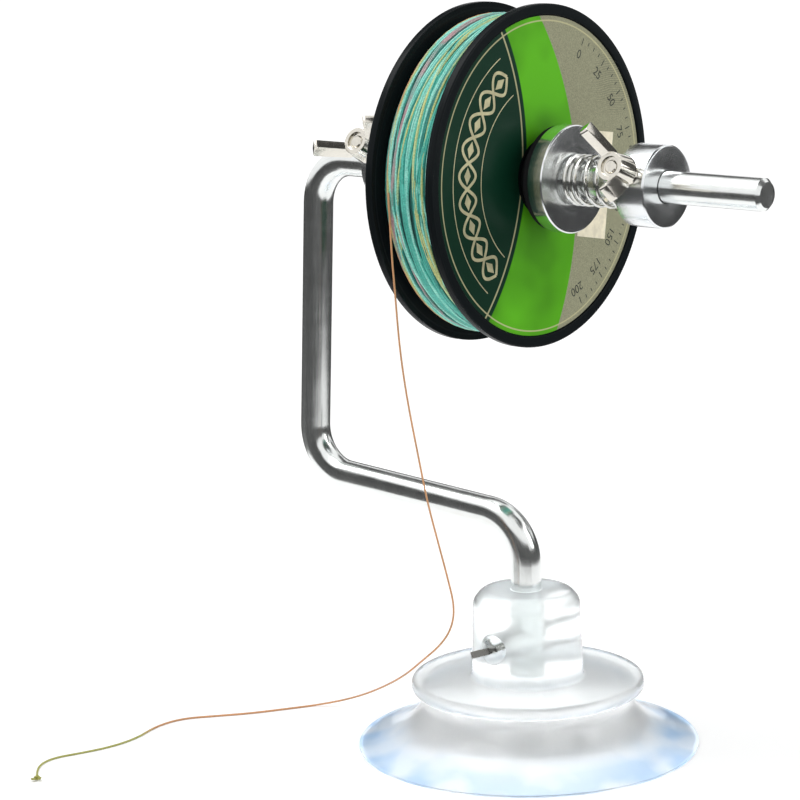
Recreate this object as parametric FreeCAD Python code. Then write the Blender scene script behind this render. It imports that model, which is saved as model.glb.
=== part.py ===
"""Fishing line winder: a suction foot, a bent crank rod and a braked line spool.

Millimetres, +Z up. The origin is the centre of the foot's rim on the table, and
+X runs along the spindle to its free tip. Each function builds one piece or one
kind of piece, and the end of the file writes every piece to its own STEP file.
"""
import FreeCAD, Part
import math
import os

Vec = FreeCAD.Vector
X_DIR = Vec(1, 0, 0)
Z_DIR = Vec(0, 0, 1)

# Crank rod
rod_r = 4.0
rod_bottom_z = 19.0
lower_run_z = 59.8
crank_offset = 74.0
spindle_z = 149.6
spindle_tip_x = 75.0
rake_deg = 3.4
bend_r = 12.5
tip_chamfer = 0.9

# Suction foot
cup_rim_r = 44.5
cup_rim_edge = 0.6
cup_rim_width = 0.9
cavity_depth = 6.5
bell_waist_reach = 0.4
bell_waist_height = 0.38
cavity_waist_reach = 0.57
cavity_waist_height = 0.71
neck_r = 27.0
neck_z = 12.0
foot_flange_r = 30.4
foot_flange_z = 14.8
foot_flange_t = 3.4
hub_base_r = 14.6
hub_draft = 0.6
hub_top_r = 11.6
hub_top_z = 41.5
hub_bevel = 2.9
hub_base_fillet = 1.0
rod_socket_gap = 0.0

# Split pin and its cross hole
cross_hole_r = 4.0
pin_z = 28.3
pin_r = 0.9
pin_hole_gap = 0.1
pin_eye_r = 1.5
pin_wire_r = 0.55
pin_eye_gap = 0.4
pin_straight = 13.2
pin_leg_bend_r = 1.9
pin_long_leg = 4.6
pin_short_leg = 1.4
pin_roll_deg = 20.0
pin_leg_fan_deg = 72.0

# Stack on the spindle
bore_gap = 0.05
spool_front_x = 7.8
spool_width = 21.6
flange_r = 43.1
flange_t = 1.6
lip_height = 0.6
lip_width = 2.7
spool_bore_r = 8.4
spool_hub_wall = 2.0
hub_seat_gap = 0.05
drum_r = 23.5
drum_wall = 2.0
web_t = 2.0
label_t = 0.15
label_edge_gap = 0.3
label_hole_gap = 1.2
cone_base_r = 12.7
cone_lip_t = 1.5
cone_lip_r = 13.0
cone_nose = 1.9
cone_seat_gap = 0.05
cone_bore_gap = 0.08
brake_gap = 0.1
disc_r = 13.5
disc_t = 4.5
disc_chamfer = 0.3
sleeve_r = 6.0
sleeve_length = 12.4
collar_r = 10.2
collar_width = 8.85
collar_chamfer = 0.4

# Brake spring
spring_length = 19.5
spring_r = 5.95
spring_wire_r = 0.55
spring_end_gap = 0.1
spring_close_pitch = 1.55
spring_close_turns = 2.5
spring_far_close_turns = 0.5
spring_open_turns = 4.0

# Wing screws
stud_r = 2.5
stud_hole_gap = 0.06
stud_rod_gap = 0.05
stud_neck_r = 1.65
stud_neck_proud = 0.1
screw_lift = 2.8
boss_base_r = 4.1
boss_top_r = 3.5
boss_height = 5.6
boss_recess_r = 2.45
boss_recess_depth = 0.8
boss_bore_gap = 0.05
wing_t = 2.1
wing_tip_inner_reach = 7.9
wing_tip_inner_rise = 7.1
wing_tip_outer_reach = 11.1
wing_tip_outer_rise = 3.6
wing_tip_corner_r = 0.7
wing_root_z = 1.0
wing_root_reach = 0.9
wing_root_corner_r = 1.6
wing_root_share = 0.3
wing_top_inset = 0.4
wing_top_drop = 0.2
wing_top_corner_r = 0.3
front_screw_tilt_deg = 21.2
front_screw_roll_deg = 125.1
rear_screw_tilt_deg = 25.7
rear_screw_roll_deg = 207.6

# Wound line and its loose tail
line_core_r = 39.7
core_rear_slope = 3.0
core_rear_drop = 2.6
core_front_slope = 1.2
core_front_drop = 0.9
wound_line_r = 0.4
wound_line_gap = 0.05
wound_loops = 10
wound_rear_gap = 3.2
wound_front_gap = 0.9
core_side_gap = 0.05
tail_r = 0.25
knot_r = 0.75
knot_length = 2.0
# Shares of the knot's length and radius along its outline
KNOT_OUTLINE = [(0, 0.4), (0.2, 0.85), (0.5, 1), (0.8, 0.85), (1, 0.4)]
TAIL_ROUTE = [
    (-8.0, -40.9, 149.2), (-8.3, -40.2, 136.7), (-8.7, -38.6, 123.5),
    (-9.7, -36.3, 109.4), (-10.1, -33.4, 95.6), (-10.1, -30.1, 82.1),
    (-9.7, -27.2, 68.6), (-8.4, -24.9, 57.8), (-6.7, -23.3, 47.9),
    (-5.7, -22.1, 40.4), (-7.6, -21.4, 34.2), (-12.0, -20.9, 28.9),
    (-18.6, -20.4, 23.6), (-27.2, -17.8, 17.3), (-41.0, -11.6, 9.8),
    (-54.2, -7.4, 3.6), (-64.2, -9.6, 0.3), (-69.6, -19.0, 0.3),
    (-74.4, -27.2, 0.3), (-80.2, -34.6, 0.3), (-86.6, -42.4, 0.3),
    (-87.4, -51.4, 0.3), (-84.2, -61.6, 0.3), (-84.4, -70.6, 0.3),
    (-86.8, -78.6, 0.3), (-90.2, -86.8, 0.3), (-87.6, -94.4, 0.3),
    (-81.2, -99.6, 0.3),
]

# Places along the spindle, worked out from the sizes above
spool_back_x = spool_front_x - spool_width
hub_front_x = spool_front_x - lip_height
hub_back_x = spool_back_x + lip_height
cone_depth = cone_base_r - spool_bore_r + cone_seat_gap
front_disc_x = hub_front_x + cone_depth + cone_lip_t + brake_gap
spring_x = front_disc_x + disc_t
front_collar_x = spring_x + spring_length
rear_disc_x = hub_back_x - cone_depth - cone_lip_t - brake_gap - disc_t
sleeve_x = rear_disc_x - sleeve_length
rear_collar_x = sleeve_x - collar_width
wound_r = line_core_r + wound_line_gap + wound_line_r


def turned(points, origin=Vec(0, 0, 0), axis=X_DIR):
    """Revolve a closed outline of (along, radius) points about an axis."""
    if axis.x:
        corners = [Vec(along, 0, radius) for along, radius in points]
    else:
        corners = [Vec(radius, 0, along) for along, radius in points]
    face = Part.Face(Part.makePolygon(corners + corners[:1]))
    solid = face.revolve(Vec(0, 0, 0), axis, 360)
    solid.translate(origin)
    return solid


def on_spindle(points):
    """Revolve an outline of (x, radius) points about the spindle's axis."""
    return turned(points, Vec(0, 0, spindle_z))


def ring_outline(start, length, inner, outer, chamfer):
    """Outline of a ring whose outer edges are chamfered."""
    end = start + length
    return [(start, inner), (end, inner), (end, outer - chamfer), (end - chamfer, outer),
            (start + chamfer, outer), (start, outer - chamfer)]


def tube_along(path, radius):
    """A round tube along a wire, square at both ends."""
    start = path.OrderedEdges[0]
    tangent = start.tangentAt(start.FirstParameter)
    ring = Part.Wire(Part.makeCircle(radius, start.valueAt(start.FirstParameter), tangent))
    return path.makePipeShell([ring], True, False)


def corner_arc(before, corner, after, radius):
    """Start, middle and end of the arc that rounds a corner of a route."""
    back = (before - corner).normalize()
    ahead = (after - corner).normalize()
    half = back.getAngle(ahead) / 2
    reach = radius / math.tan(half)
    middle = (back + ahead).normalize() * (radius / math.sin(half) - radius)
    return corner + back * reach, corner + middle, corner + ahead * reach


def rounded_route(points, radii):
    """A wire of straight runs joined by tangent arcs, one radius per inner point."""
    edges = []
    last = points[0]
    for number, radius in enumerate(radii, start=1):
        start, middle, end = corner_arc(points[number - 1], points[number], points[number + 1], radius)
        edges.append(Part.LineSegment(last, start).toShape())
        edges.append(Part.Arc(start, middle, end).toShape())
        last = end
    edges.append(Part.LineSegment(last, points[-1]).toShape())
    return Part.Wire(edges)


def arc_with_apex(start, apex, end):
    """The arc from start to end whose end tangents meet at the apex."""
    half = (start - apex).getAngle(end - apex) / 2
    reach = (start - apex).Length
    inward = ((start - apex).normalize() + (end - apex).normalize()).normalize()
    middle = apex + inward * (reach / math.cos(half) - reach * math.tan(half))
    return Part.Arc(start, middle, end).toShape()


def biarc(start, start_way, end, end_way):
    """Two tangent arcs between two points with given unit directions."""
    chord = end - start
    ways = start_way + end_way
    spread = 2 * (1 - start_way.dot(end_way))
    along = chord.dot(ways)
    reach = (math.sqrt(along * along + spread * chord.dot(chord)) - along) / spread
    first_apex = start + start_way * reach
    last_apex = end - end_way * reach
    joint = (first_apex + last_apex) * 0.5
    return [arc_with_apex(start, first_apex, joint), arc_with_apex(joint, last_apex, end)]


def coil(radius, wire_r, start_x, start_deg, sections):
    """An unbroken coil about the X axis.

    sections is a list of (turns, pitch), each cut into quarter turns. The ends
    run straight for one wire diameter.
    """
    stations = [(start_x, start_deg)]
    for turns, pitch in sections:
        for _ in range(round(turns * 4)):
            along, angle = stations[-1]
            stations.append((along + pitch / 4, angle + 90))
    places = []
    ways = []
    count = len(stations)
    for number, (along, angle) in enumerate(stations):
        before = stations[max(number - 1, 0)]
        after = stations[min(number + 1, count - 1)]
        rise = (after[0] - before[0]) / math.radians(after[1] - before[1])
        turn = math.radians(angle)
        places.append(Vec(along, radius * math.cos(turn), radius * math.sin(turn)))
        ways.append(Vec(rise, -radius * math.sin(turn), radius * math.cos(turn)).normalize())
    lead = 2 * wire_r
    edges = [Part.LineSegment(places[0] - ways[0] * lead, places[0]).toShape()]
    for number in range(count - 1):
        edges += biarc(places[number], ways[number], places[number + 1], ways[number + 1])
    edges.append(Part.LineSegment(places[-1], places[-1] + ways[-1] * lead).toShape())
    return Part.Wire(edges)


def gap_to_itself(path, wire_r, turn_length):
    """Least gap between a coil's neighbouring turns, measured on points."""
    samples = 40
    steps = max(2, round(path.Length / turn_length * samples))
    points = path.discretize(Number=steps + 1)
    apart = round(samples * 0.6)
    least = math.inf
    for number, point in enumerate(points):
        for other in points[number + apart:number + 2 * samples]:
            least = min(least, (point - other).Length)
    return least - 2 * wire_r


def crank_points():
    """Corners of the bent rod's centre line: foot, two crank corners, tip."""
    rake = math.tan(math.radians(rake_deg))
    low = Vec(-crank_offset, 0, lower_run_z + crank_offset * rake)
    high = Vec(low.x + (spindle_z - low.z) * rake, 0, spindle_z)
    return [Vec(0, 0, rod_bottom_z), Vec(0, 0, lower_run_z), low, high,
            Vec(spindle_tip_x - tip_chamfer, 0, spindle_z)]


def crank_rod():
    """The bent rod with its chamfered tip and the split pin's hole."""
    rod = tube_along(rounded_route(crank_points(), [bend_r] * 3), rod_r)
    tip = Part.makeCone(rod_r, rod_r - tip_chamfer, tip_chamfer, crank_points()[-1], X_DIR)
    hole = Part.makeCylinder(pin_r + pin_hole_gap, 4 * rod_r, Vec(0, -2 * rod_r, pin_z), Vec(0, 1, 0))
    return rod.fuse(tip).removeSplitter().cut(hole)


def suction_cup():
    """Clear soft foot: thin bell, flange disc and hub, with the pin's cross hole."""
    flange_top = foot_flange_z + foot_flange_t
    edge_r = foot_flange_t / 2
    top_r = hub_base_r - hub_draft
    fillet = hub_base_fillet
    half = math.sqrt(0.5)
    bevel_z = hub_top_z - hub_bevel
    bevel_r = top_r - hub_top_r
    rim_in = cup_rim_r - cup_rim_width
    bell_r = neck_r + (cup_rim_r - neck_r) * bell_waist_reach
    bell_z = neck_z * bell_waist_height
    inner_r = rim_in * cavity_waist_reach
    inner_z = cavity_depth * cavity_waist_height
    socket_r = rod_r + rod_socket_gap

    def at(radius, height):
        return Vec(radius, 0, height)

    def line(start, end):
        return Part.LineSegment(start, end).toShape()

    def arc(start, middle, end):
        return Part.Arc(start, middle, end).toShape()

    edge_start = at(foot_flange_r - edge_r, foot_flange_z)
    edge_end = at(foot_flange_r - edge_r, flange_top)
    edges = [
        arc(at(0, cavity_depth), at(inner_r, inner_z), at(rim_in, 0)),
        line(at(rim_in, 0), at(cup_rim_r, 0)),
        line(at(cup_rim_r, 0), at(cup_rim_r, cup_rim_edge)),
        arc(at(cup_rim_r, cup_rim_edge), at(bell_r, bell_z), at(neck_r, neck_z)),
        line(at(neck_r, neck_z), at(neck_r, foot_flange_z)),
        line(at(neck_r, foot_flange_z), edge_start),
        arc(edge_start, at(foot_flange_r, foot_flange_z + edge_r), edge_end),
        line(edge_end, at(hub_base_r + fillet, flange_top)),
        arc(at(hub_base_r + fillet, flange_top),
            at(hub_base_r + fillet * (1 - half), flange_top + fillet * (1 - half)),
            at(hub_base_r, flange_top + fillet)),
        line(at(hub_base_r, flange_top + fillet), at(top_r, bevel_z)),
        arc(at(top_r, bevel_z), at(top_r - bevel_r * (1 - half), bevel_z + hub_bevel * half),
            at(hub_top_r, hub_top_z)),
        line(at(hub_top_r, hub_top_z), at(socket_r, hub_top_z)),
        line(at(socket_r, hub_top_z), at(socket_r, rod_bottom_z)),
        line(at(socket_r, rod_bottom_z), at(0, rod_bottom_z)),
        line(at(0, rod_bottom_z), at(0, cavity_depth)),
    ]
    cup = Part.Face(Part.Wire(edges)).revolve(Vec(0, 0, 0), Z_DIR, 360)
    hole = Part.makeCylinder(cross_hole_r, 4 * hub_base_r, Vec(0, -2 * hub_base_r, pin_z), Vec(0, 1, 0))
    return cup.cut(hole)


def pin_leg(length, side):
    """One half-round leg of the split pin, bent up from the shank's end."""
    fan = math.radians(pin_leg_fan_deg)
    root = Vec(0, -pin_straight, 0)
    centre = root + Vec(0, 0, pin_leg_bend_r)
    turn = [Vec(0, -math.sin(part * fan), -math.cos(part * fan)) for part in (0, 0.5, 1)]
    arc = [centre + way * pin_leg_bend_r for way in turn]
    ahead = Vec(0, -math.cos(fan), math.sin(fan))
    path = Part.Wire([Part.Arc(*arc).toShape(),
                      Part.LineSegment(arc[2], arc[2] + ahead * length).toShape()])
    section = Part.makeCircle(pin_r, root, Vec(0, -1, 0), 0, 180)
    flat = Part.LineSegment(section.Vertexes[1].Point, section.Vertexes[0].Point).toShape()
    leg = path.makePipeShell([Part.Wire([section, flat])], True, False)
    if leg.BoundBox.ZMin > -pin_r / 2:
        leg = leg.mirror(Vec(0, 0, 0), X_DIR)
    leg.rotate(root, Vec(0, 1, 0), side)
    return leg


def split_pin():
    """Bent-wire pin: an eye behind the rod, a shank through it and two spread legs."""
    eye_y = rod_r + pin_eye_gap + pin_eye_r + pin_wire_r
    eye = Part.makeTorus(pin_eye_r, pin_wire_r, Vec(0, eye_y, 0), Z_DIR)
    shank = Part.makeCylinder(pin_r, eye_y - pin_eye_r + pin_straight, Vec(0, -pin_straight, 0), Vec(0, 1, 0))
    pin = shank.fuse([eye, pin_leg(pin_long_leg, -90), pin_leg(pin_short_leg, 0)])
    pin.rotate(Vec(0, 0, 0), Vec(0, 1, 0), -pin_roll_deg)
    pin.translate(Vec(0, 0, pin_z))
    return pin


def shaft_collar(start_x, screw_tilt_deg):
    """A turned ring on the spindle with a radial hole for its clamp screw."""
    ring = on_spindle(ring_outline(start_x, collar_width, rod_r + bore_gap, collar_r, collar_chamfer))
    hole = Part.makeCylinder(stud_r + stud_hole_gap, 2 * collar_r)
    return ring.cut(on_screw_axis(hole, start_x, screw_tilt_deg, 0))


def on_screw_axis(shape, collar_x, tilt_deg, roll_deg):
    """Put a shape made about +Z from the spindle's axis on a clamp screw's axis."""
    placed = shape.copy()
    placed.rotate(Vec(0, 0, 0), Z_DIR, roll_deg)
    placed.rotate(Vec(0, 0, 0), X_DIR, 90 - tilt_deg)
    placed.translate(Vec(collar_x + collar_width / 2, 0, spindle_z))
    return placed


def clamp_stud():
    """The wing screw's threaded stud, as a plain shaft with a riveted neck."""
    boss_z = collar_r + screw_lift
    top_z = boss_z + boss_height - boss_recess_depth / 2 + stud_neck_proud
    outline = [(rod_r + stud_rod_gap, 0), (boss_z - boss_bore_gap, 0), (top_z, 0), (top_z, stud_neck_r),
               (boss_z - boss_bore_gap, stud_neck_r), (boss_z - boss_bore_gap, stud_r),
               (rod_r + stud_rod_gap, stud_r)]
    return turned(outline, axis=Z_DIR)


def wing_outline():
    """Edge of one wing plate in its own plane, from the boss to the squared tip."""
    base = collar_r + screw_lift
    top = base + boss_height
    inner_r = stud_neck_r + boss_bore_gap + wing_root_share * (boss_top_r - stud_neck_r)
    corners = [Vec(inner_r, 0, top - wing_top_drop - boss_recess_depth),
               Vec(boss_top_r - wing_top_inset, 0, top - wing_top_drop),
               Vec(wing_tip_inner_reach, 0, top + wing_tip_inner_rise),
               Vec(wing_tip_outer_reach, 0, top + wing_tip_outer_rise),
               Vec(boss_base_r + wing_root_reach, 0, base + wing_root_z),
               Vec(inner_r, 0, base + wing_root_z)]
    radii = [wing_top_corner_r, wing_tip_corner_r, wing_tip_corner_r, wing_root_corner_r]
    closing = Part.LineSegment(corners[-1], corners[0]).toShape()
    return Part.Face(Part.Wire(rounded_route(corners, radii).Edges + [closing]))


def wing_head():
    """The wing screw's head: a tapered boss with two raised wings."""
    base = collar_r + screw_lift
    top = base + boss_height
    bore_r = stud_neck_r + boss_bore_gap
    recess_z = top - boss_recess_depth
    recess_r = boss_recess_r
    boss = turned([(base, bore_r), (recess_z, bore_r), (recess_z, recess_r), (top, recess_r),
                   (top, boss_top_r), (base, boss_base_r)], axis=Z_DIR)
    plate = wing_outline().extrude(Vec(0, wing_t, 0))
    plate.translate(Vec(0, -wing_t / 2, 0))
    other = plate.copy()
    other.rotate(Vec(0, 0, 0), Z_DIR, 180)
    clear = turned([(0, 0), (2 * top, 0), (2 * top, recess_r), (recess_z, recess_r), (recess_z, bore_r),
                    (0, bore_r)], axis=Z_DIR)
    return boss.fuse([plate, other]).cut(clear)


def spool_flange(outer_x, inward):
    """One spool flange: a disc with a raised lip on its outer side."""
    face_x = outer_x + inward * lip_height
    inner_x = face_x + inward * flange_t
    hole_r = spool_bore_r + spool_hub_wall + hub_seat_gap
    lip_r = flange_r - lip_width
    edge = lip_height / 2
    return on_spindle([(face_x, hole_r), (inner_x, hole_r), (inner_x, flange_r),
                       (outer_x + inward * edge, flange_r), (outer_x, flange_r - edge),
                       (outer_x, lip_r + edge), (face_x, lip_r)])


def spool_drum():
    """The spool's hub tube and drum tube, joined by a web."""
    hub_r = spool_bore_r + spool_hub_wall
    left = hub_back_x + flange_t
    right = hub_front_x - flange_t
    middle = (left + right) / 2
    inner = drum_r - drum_wall
    return on_spindle([(hub_back_x, spool_bore_r), (hub_front_x, spool_bore_r), (hub_front_x, hub_r),
                       (middle + web_t / 2, hub_r), (middle + web_t / 2, inner), (right, inner),
                       (right, drum_r), (left, drum_r), (left, inner), (middle - web_t / 2, inner),
                       (middle - web_t / 2, hub_r), (hub_back_x, hub_r)])


def label(face_x, outward):
    """A thin ring of printed paper on a flange's outer face."""
    hole_r = spool_bore_r + label_hole_gap
    outer = flange_r - lip_width - label_edge_gap
    far = face_x + outward * label_t
    return on_spindle([(face_x, hole_r), (far, hole_r), (far, outer), (face_x, outer)])


def centring_cone(face_x, outward):
    """A rubber cone that centres the spool's bore on the spindle."""
    base_x = face_x + outward * cone_depth
    nose_x = face_x - outward * (cone_nose - cone_seat_gap)
    bore_r = rod_r + cone_bore_gap
    return on_spindle([(nose_x, bore_r), (nose_x, spool_bore_r - cone_nose), (base_x, cone_base_r),
                       (base_x, cone_lip_r), (base_x + outward * cone_lip_t, cone_lip_r),
                       (base_x + outward * cone_lip_t, bore_r)])


def line_core():
    """The inner layers of line, as one ring on the drum that falls off at its edges."""
    left = hub_back_x + flange_t + core_side_gap
    right = hub_front_x - flange_t - core_side_gap
    return on_spindle([(left, drum_r), (right, drum_r), (right, line_core_r - core_front_drop),
                       (right - core_front_slope, line_core_r), (left + core_rear_slope, line_core_r),
                       (left, line_core_r - core_rear_drop)])


def wound_line():
    """The outer layer of line: one unbroken coil over the core."""
    start = hub_back_x + flange_t + wound_rear_gap + wound_line_r
    end = hub_front_x - flange_t - wound_front_gap - wound_line_r
    pitch = (end - start) / wound_loops
    path = coil(wound_r, wound_line_r, start, 180, [(wound_loops, pitch)])
    print("wound line: least gap to itself",
          round(gap_to_itself(path, wound_line_r, 2 * math.pi * wound_r), 3))
    tube = tube_along(path, wound_line_r)
    tube.translate(Vec(0, 0, spindle_z))
    return tube


def brake_spring():
    """Compression spring: close turns at the disc, open turns, a close turn at the collar."""
    seat = spring_end_gap + spring_wire_r
    closed = spring_close_turns + spring_far_close_turns
    free = spring_length - 2 * seat - closed * spring_close_pitch
    sections = [(spring_close_turns, spring_close_pitch), (spring_open_turns, free / spring_open_turns),
                (spring_far_close_turns, spring_close_pitch)]
    path = coil(spring_r, spring_wire_r, spring_x + seat, 0, sections)
    print("brake spring: least gap to itself",
          round(gap_to_itself(path, spring_wire_r, 2 * math.pi * spring_r), 3))
    tube = tube_along(path, spring_wire_r)
    tube.translate(Vec(0, 0, spindle_z))
    return tube


def line_tail():
    """The loose end of the line, from the winding down to the table."""
    points = [Vec(*place) for place in TAIL_ROUTE]
    radii = []
    for before, corner, after in zip(points, points[1:], points[2:]):
        turn = (corner - before).getAngle(after - corner)
        shorter = min((corner - before).Length, (after - corner).Length)
        radii.append(0.45 * shorter / math.tan(turn / 2))
    print("tail radii:", [round(radius, 1) for radius in radii])
    path = rounded_route(points, radii)
    tube = tube_along(path, tail_r)
    print("tail volume over section times length:",
          round(tube.Volume / (math.pi * tail_r ** 2 * path.Length), 4), "length", round(path.Length, 1))
    return tube


def line_knot():
    """The small knot that ends the tail."""
    before, last = [Vec(*place) for place in TAIL_ROUTE[-2:]]
    ahead = (last - before).normalize()
    outline = [(0, 0)] + [(part * knot_length, size * knot_r) for part, size in KNOT_OUTLINE]
    outline.append((knot_length, 0))
    knot = turned(outline)
    knot.rotate(Vec(0, 0, 0), Z_DIR, math.degrees(math.atan2(ahead.y, ahead.x)))
    knot.translate(Vec(last.x, last.y, max(last.z, knot_r)))
    return knot


def pieces():
    """Every piece by the name of its node."""
    return {
        "suction_cup": suction_cup(),
        "crank_rod": crank_rod(),
        "split_pin": split_pin(),
        "rear_collar": shaft_collar(rear_collar_x, rear_screw_tilt_deg),
        "rear_clamp_stud": on_screw_axis(clamp_stud(), rear_collar_x, rear_screw_tilt_deg, 0),
        "rear_wing_head": on_screw_axis(wing_head(), rear_collar_x, rear_screw_tilt_deg, rear_screw_roll_deg),
        "spacer_sleeve": on_spindle(ring_outline(sleeve_x, sleeve_length, rod_r + bore_gap, sleeve_r,
                                                 disc_chamfer)),
        "rear_pressure_disc": on_spindle(ring_outline(rear_disc_x, disc_t, rod_r + bore_gap, disc_r,
                                                      disc_chamfer)),
        "rear_cone": centring_cone(hub_back_x, -1),
        "spool_rear_flange": spool_flange(spool_back_x, 1),
        "spool_drum": spool_drum(),
        "spool_front_flange": spool_flange(spool_front_x, -1),
        "rear_label": label(hub_back_x, -1),
        "front_label": label(hub_front_x, 1),
        "line_core": line_core(),
        "wound_line": wound_line(),
        "line_tail": line_tail(),
        "line_end_knot": line_knot(),
        "front_cone": centring_cone(hub_front_x, 1),
        "front_pressure_disc": on_spindle(ring_outline(front_disc_x, disc_t, rod_r + bore_gap, disc_r,
                                                       disc_chamfer)),
        "brake_spring": brake_spring(),
        "front_collar": shaft_collar(front_collar_x, front_screw_tilt_deg),
        "front_clamp_stud": on_screw_axis(clamp_stud(), front_collar_x, front_screw_tilt_deg, 0),
        "front_wing_head": on_screw_axis(wing_head(), front_collar_x, front_screw_tilt_deg,
                                         front_screw_roll_deg),
    }


os.makedirs("parts", exist_ok=True)
for node, shape in pieces().items():
    solid = shape.Solids[0] if len(shape.Solids) == 1 else shape
    print(node, "solids", len(shape.Solids), "valid", shape.isValid(), "volume", round(shape.Volume, 2))
    solid.exportStep(f"parts/{node}.step")
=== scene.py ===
"""Looks of a bench winder for fishing line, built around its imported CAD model.

Shapes are drawn in millimetres in the frame of the CAD model, and scaled to
metres when they become pieces. The spindle runs along +X at SPINDLE_Z.
"""
import logging
import math
import random
from dataclasses import dataclass, field
from enum import Enum, IntEnum
from functools import cache

import bmesh
import bpy
from mathutils import Matrix, Vector


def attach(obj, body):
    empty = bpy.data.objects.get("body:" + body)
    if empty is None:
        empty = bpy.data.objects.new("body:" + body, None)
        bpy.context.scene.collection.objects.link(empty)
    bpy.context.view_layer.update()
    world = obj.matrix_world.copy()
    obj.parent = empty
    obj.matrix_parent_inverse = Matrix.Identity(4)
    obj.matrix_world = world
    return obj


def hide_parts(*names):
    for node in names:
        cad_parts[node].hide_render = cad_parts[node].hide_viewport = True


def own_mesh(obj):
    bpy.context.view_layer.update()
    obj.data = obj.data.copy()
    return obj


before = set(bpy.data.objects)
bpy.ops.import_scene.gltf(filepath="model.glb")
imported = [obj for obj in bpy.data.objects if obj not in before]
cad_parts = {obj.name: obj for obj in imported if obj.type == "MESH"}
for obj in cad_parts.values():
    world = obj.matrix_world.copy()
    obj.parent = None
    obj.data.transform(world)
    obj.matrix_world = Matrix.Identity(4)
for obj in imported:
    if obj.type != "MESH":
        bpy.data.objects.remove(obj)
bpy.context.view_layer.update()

Colour = tuple[float, float, float]
Place = tuple[float, float, float]
Outline = list[tuple[float, float]]
Socket = bpy.types.NodeSocket

LOG = logging.getLogger("winder")
MM = 0.001
SPINDLE_Z = 149.6
CREASE_DEG = 32.0
ORIGIN: Place = (0.0, 0.0, 0.0)
ON_SPINDLE: Place = (0.0, 0.0, SPINDLE_Z)
BLACK: Colour = (0.0, 0.0, 0.0)
WHITE: Colour = (1.0, 1.0, 1.0)


class Axis(Enum):
    """Directions of a turned piece: along its axis, and out from it."""

    SPINDLE = ((1.0, 0.0, 0.0), (0.0, 0.0, 1.0))
    UPRIGHT = ((0.0, 0.0, 1.0), (1.0, 0.0, 0.0))


class Grain(Enum):
    """Ways in which the tool marks of a metal run."""

    TURNED = "rings about the spindle"
    DRAWN = "streaks along the bent rod"
    PLATED = "even, with faint clouds"


class Shade(IntEnum):
    """Shades of the wound line, by their material's number on the strands."""

    TURQUOISE = 0
    # partly the line's own darker strands, partly painted shade in the gaps under the bundles
    SEA_GREEN = 1
    # partly the line's own lighter strands, partly a painted highlight on the top strands
    PALE_AQUA = 2
    YELLOW_GREEN = 3
    ROSE_GREY = 4
    SHADOW = 5


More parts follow.
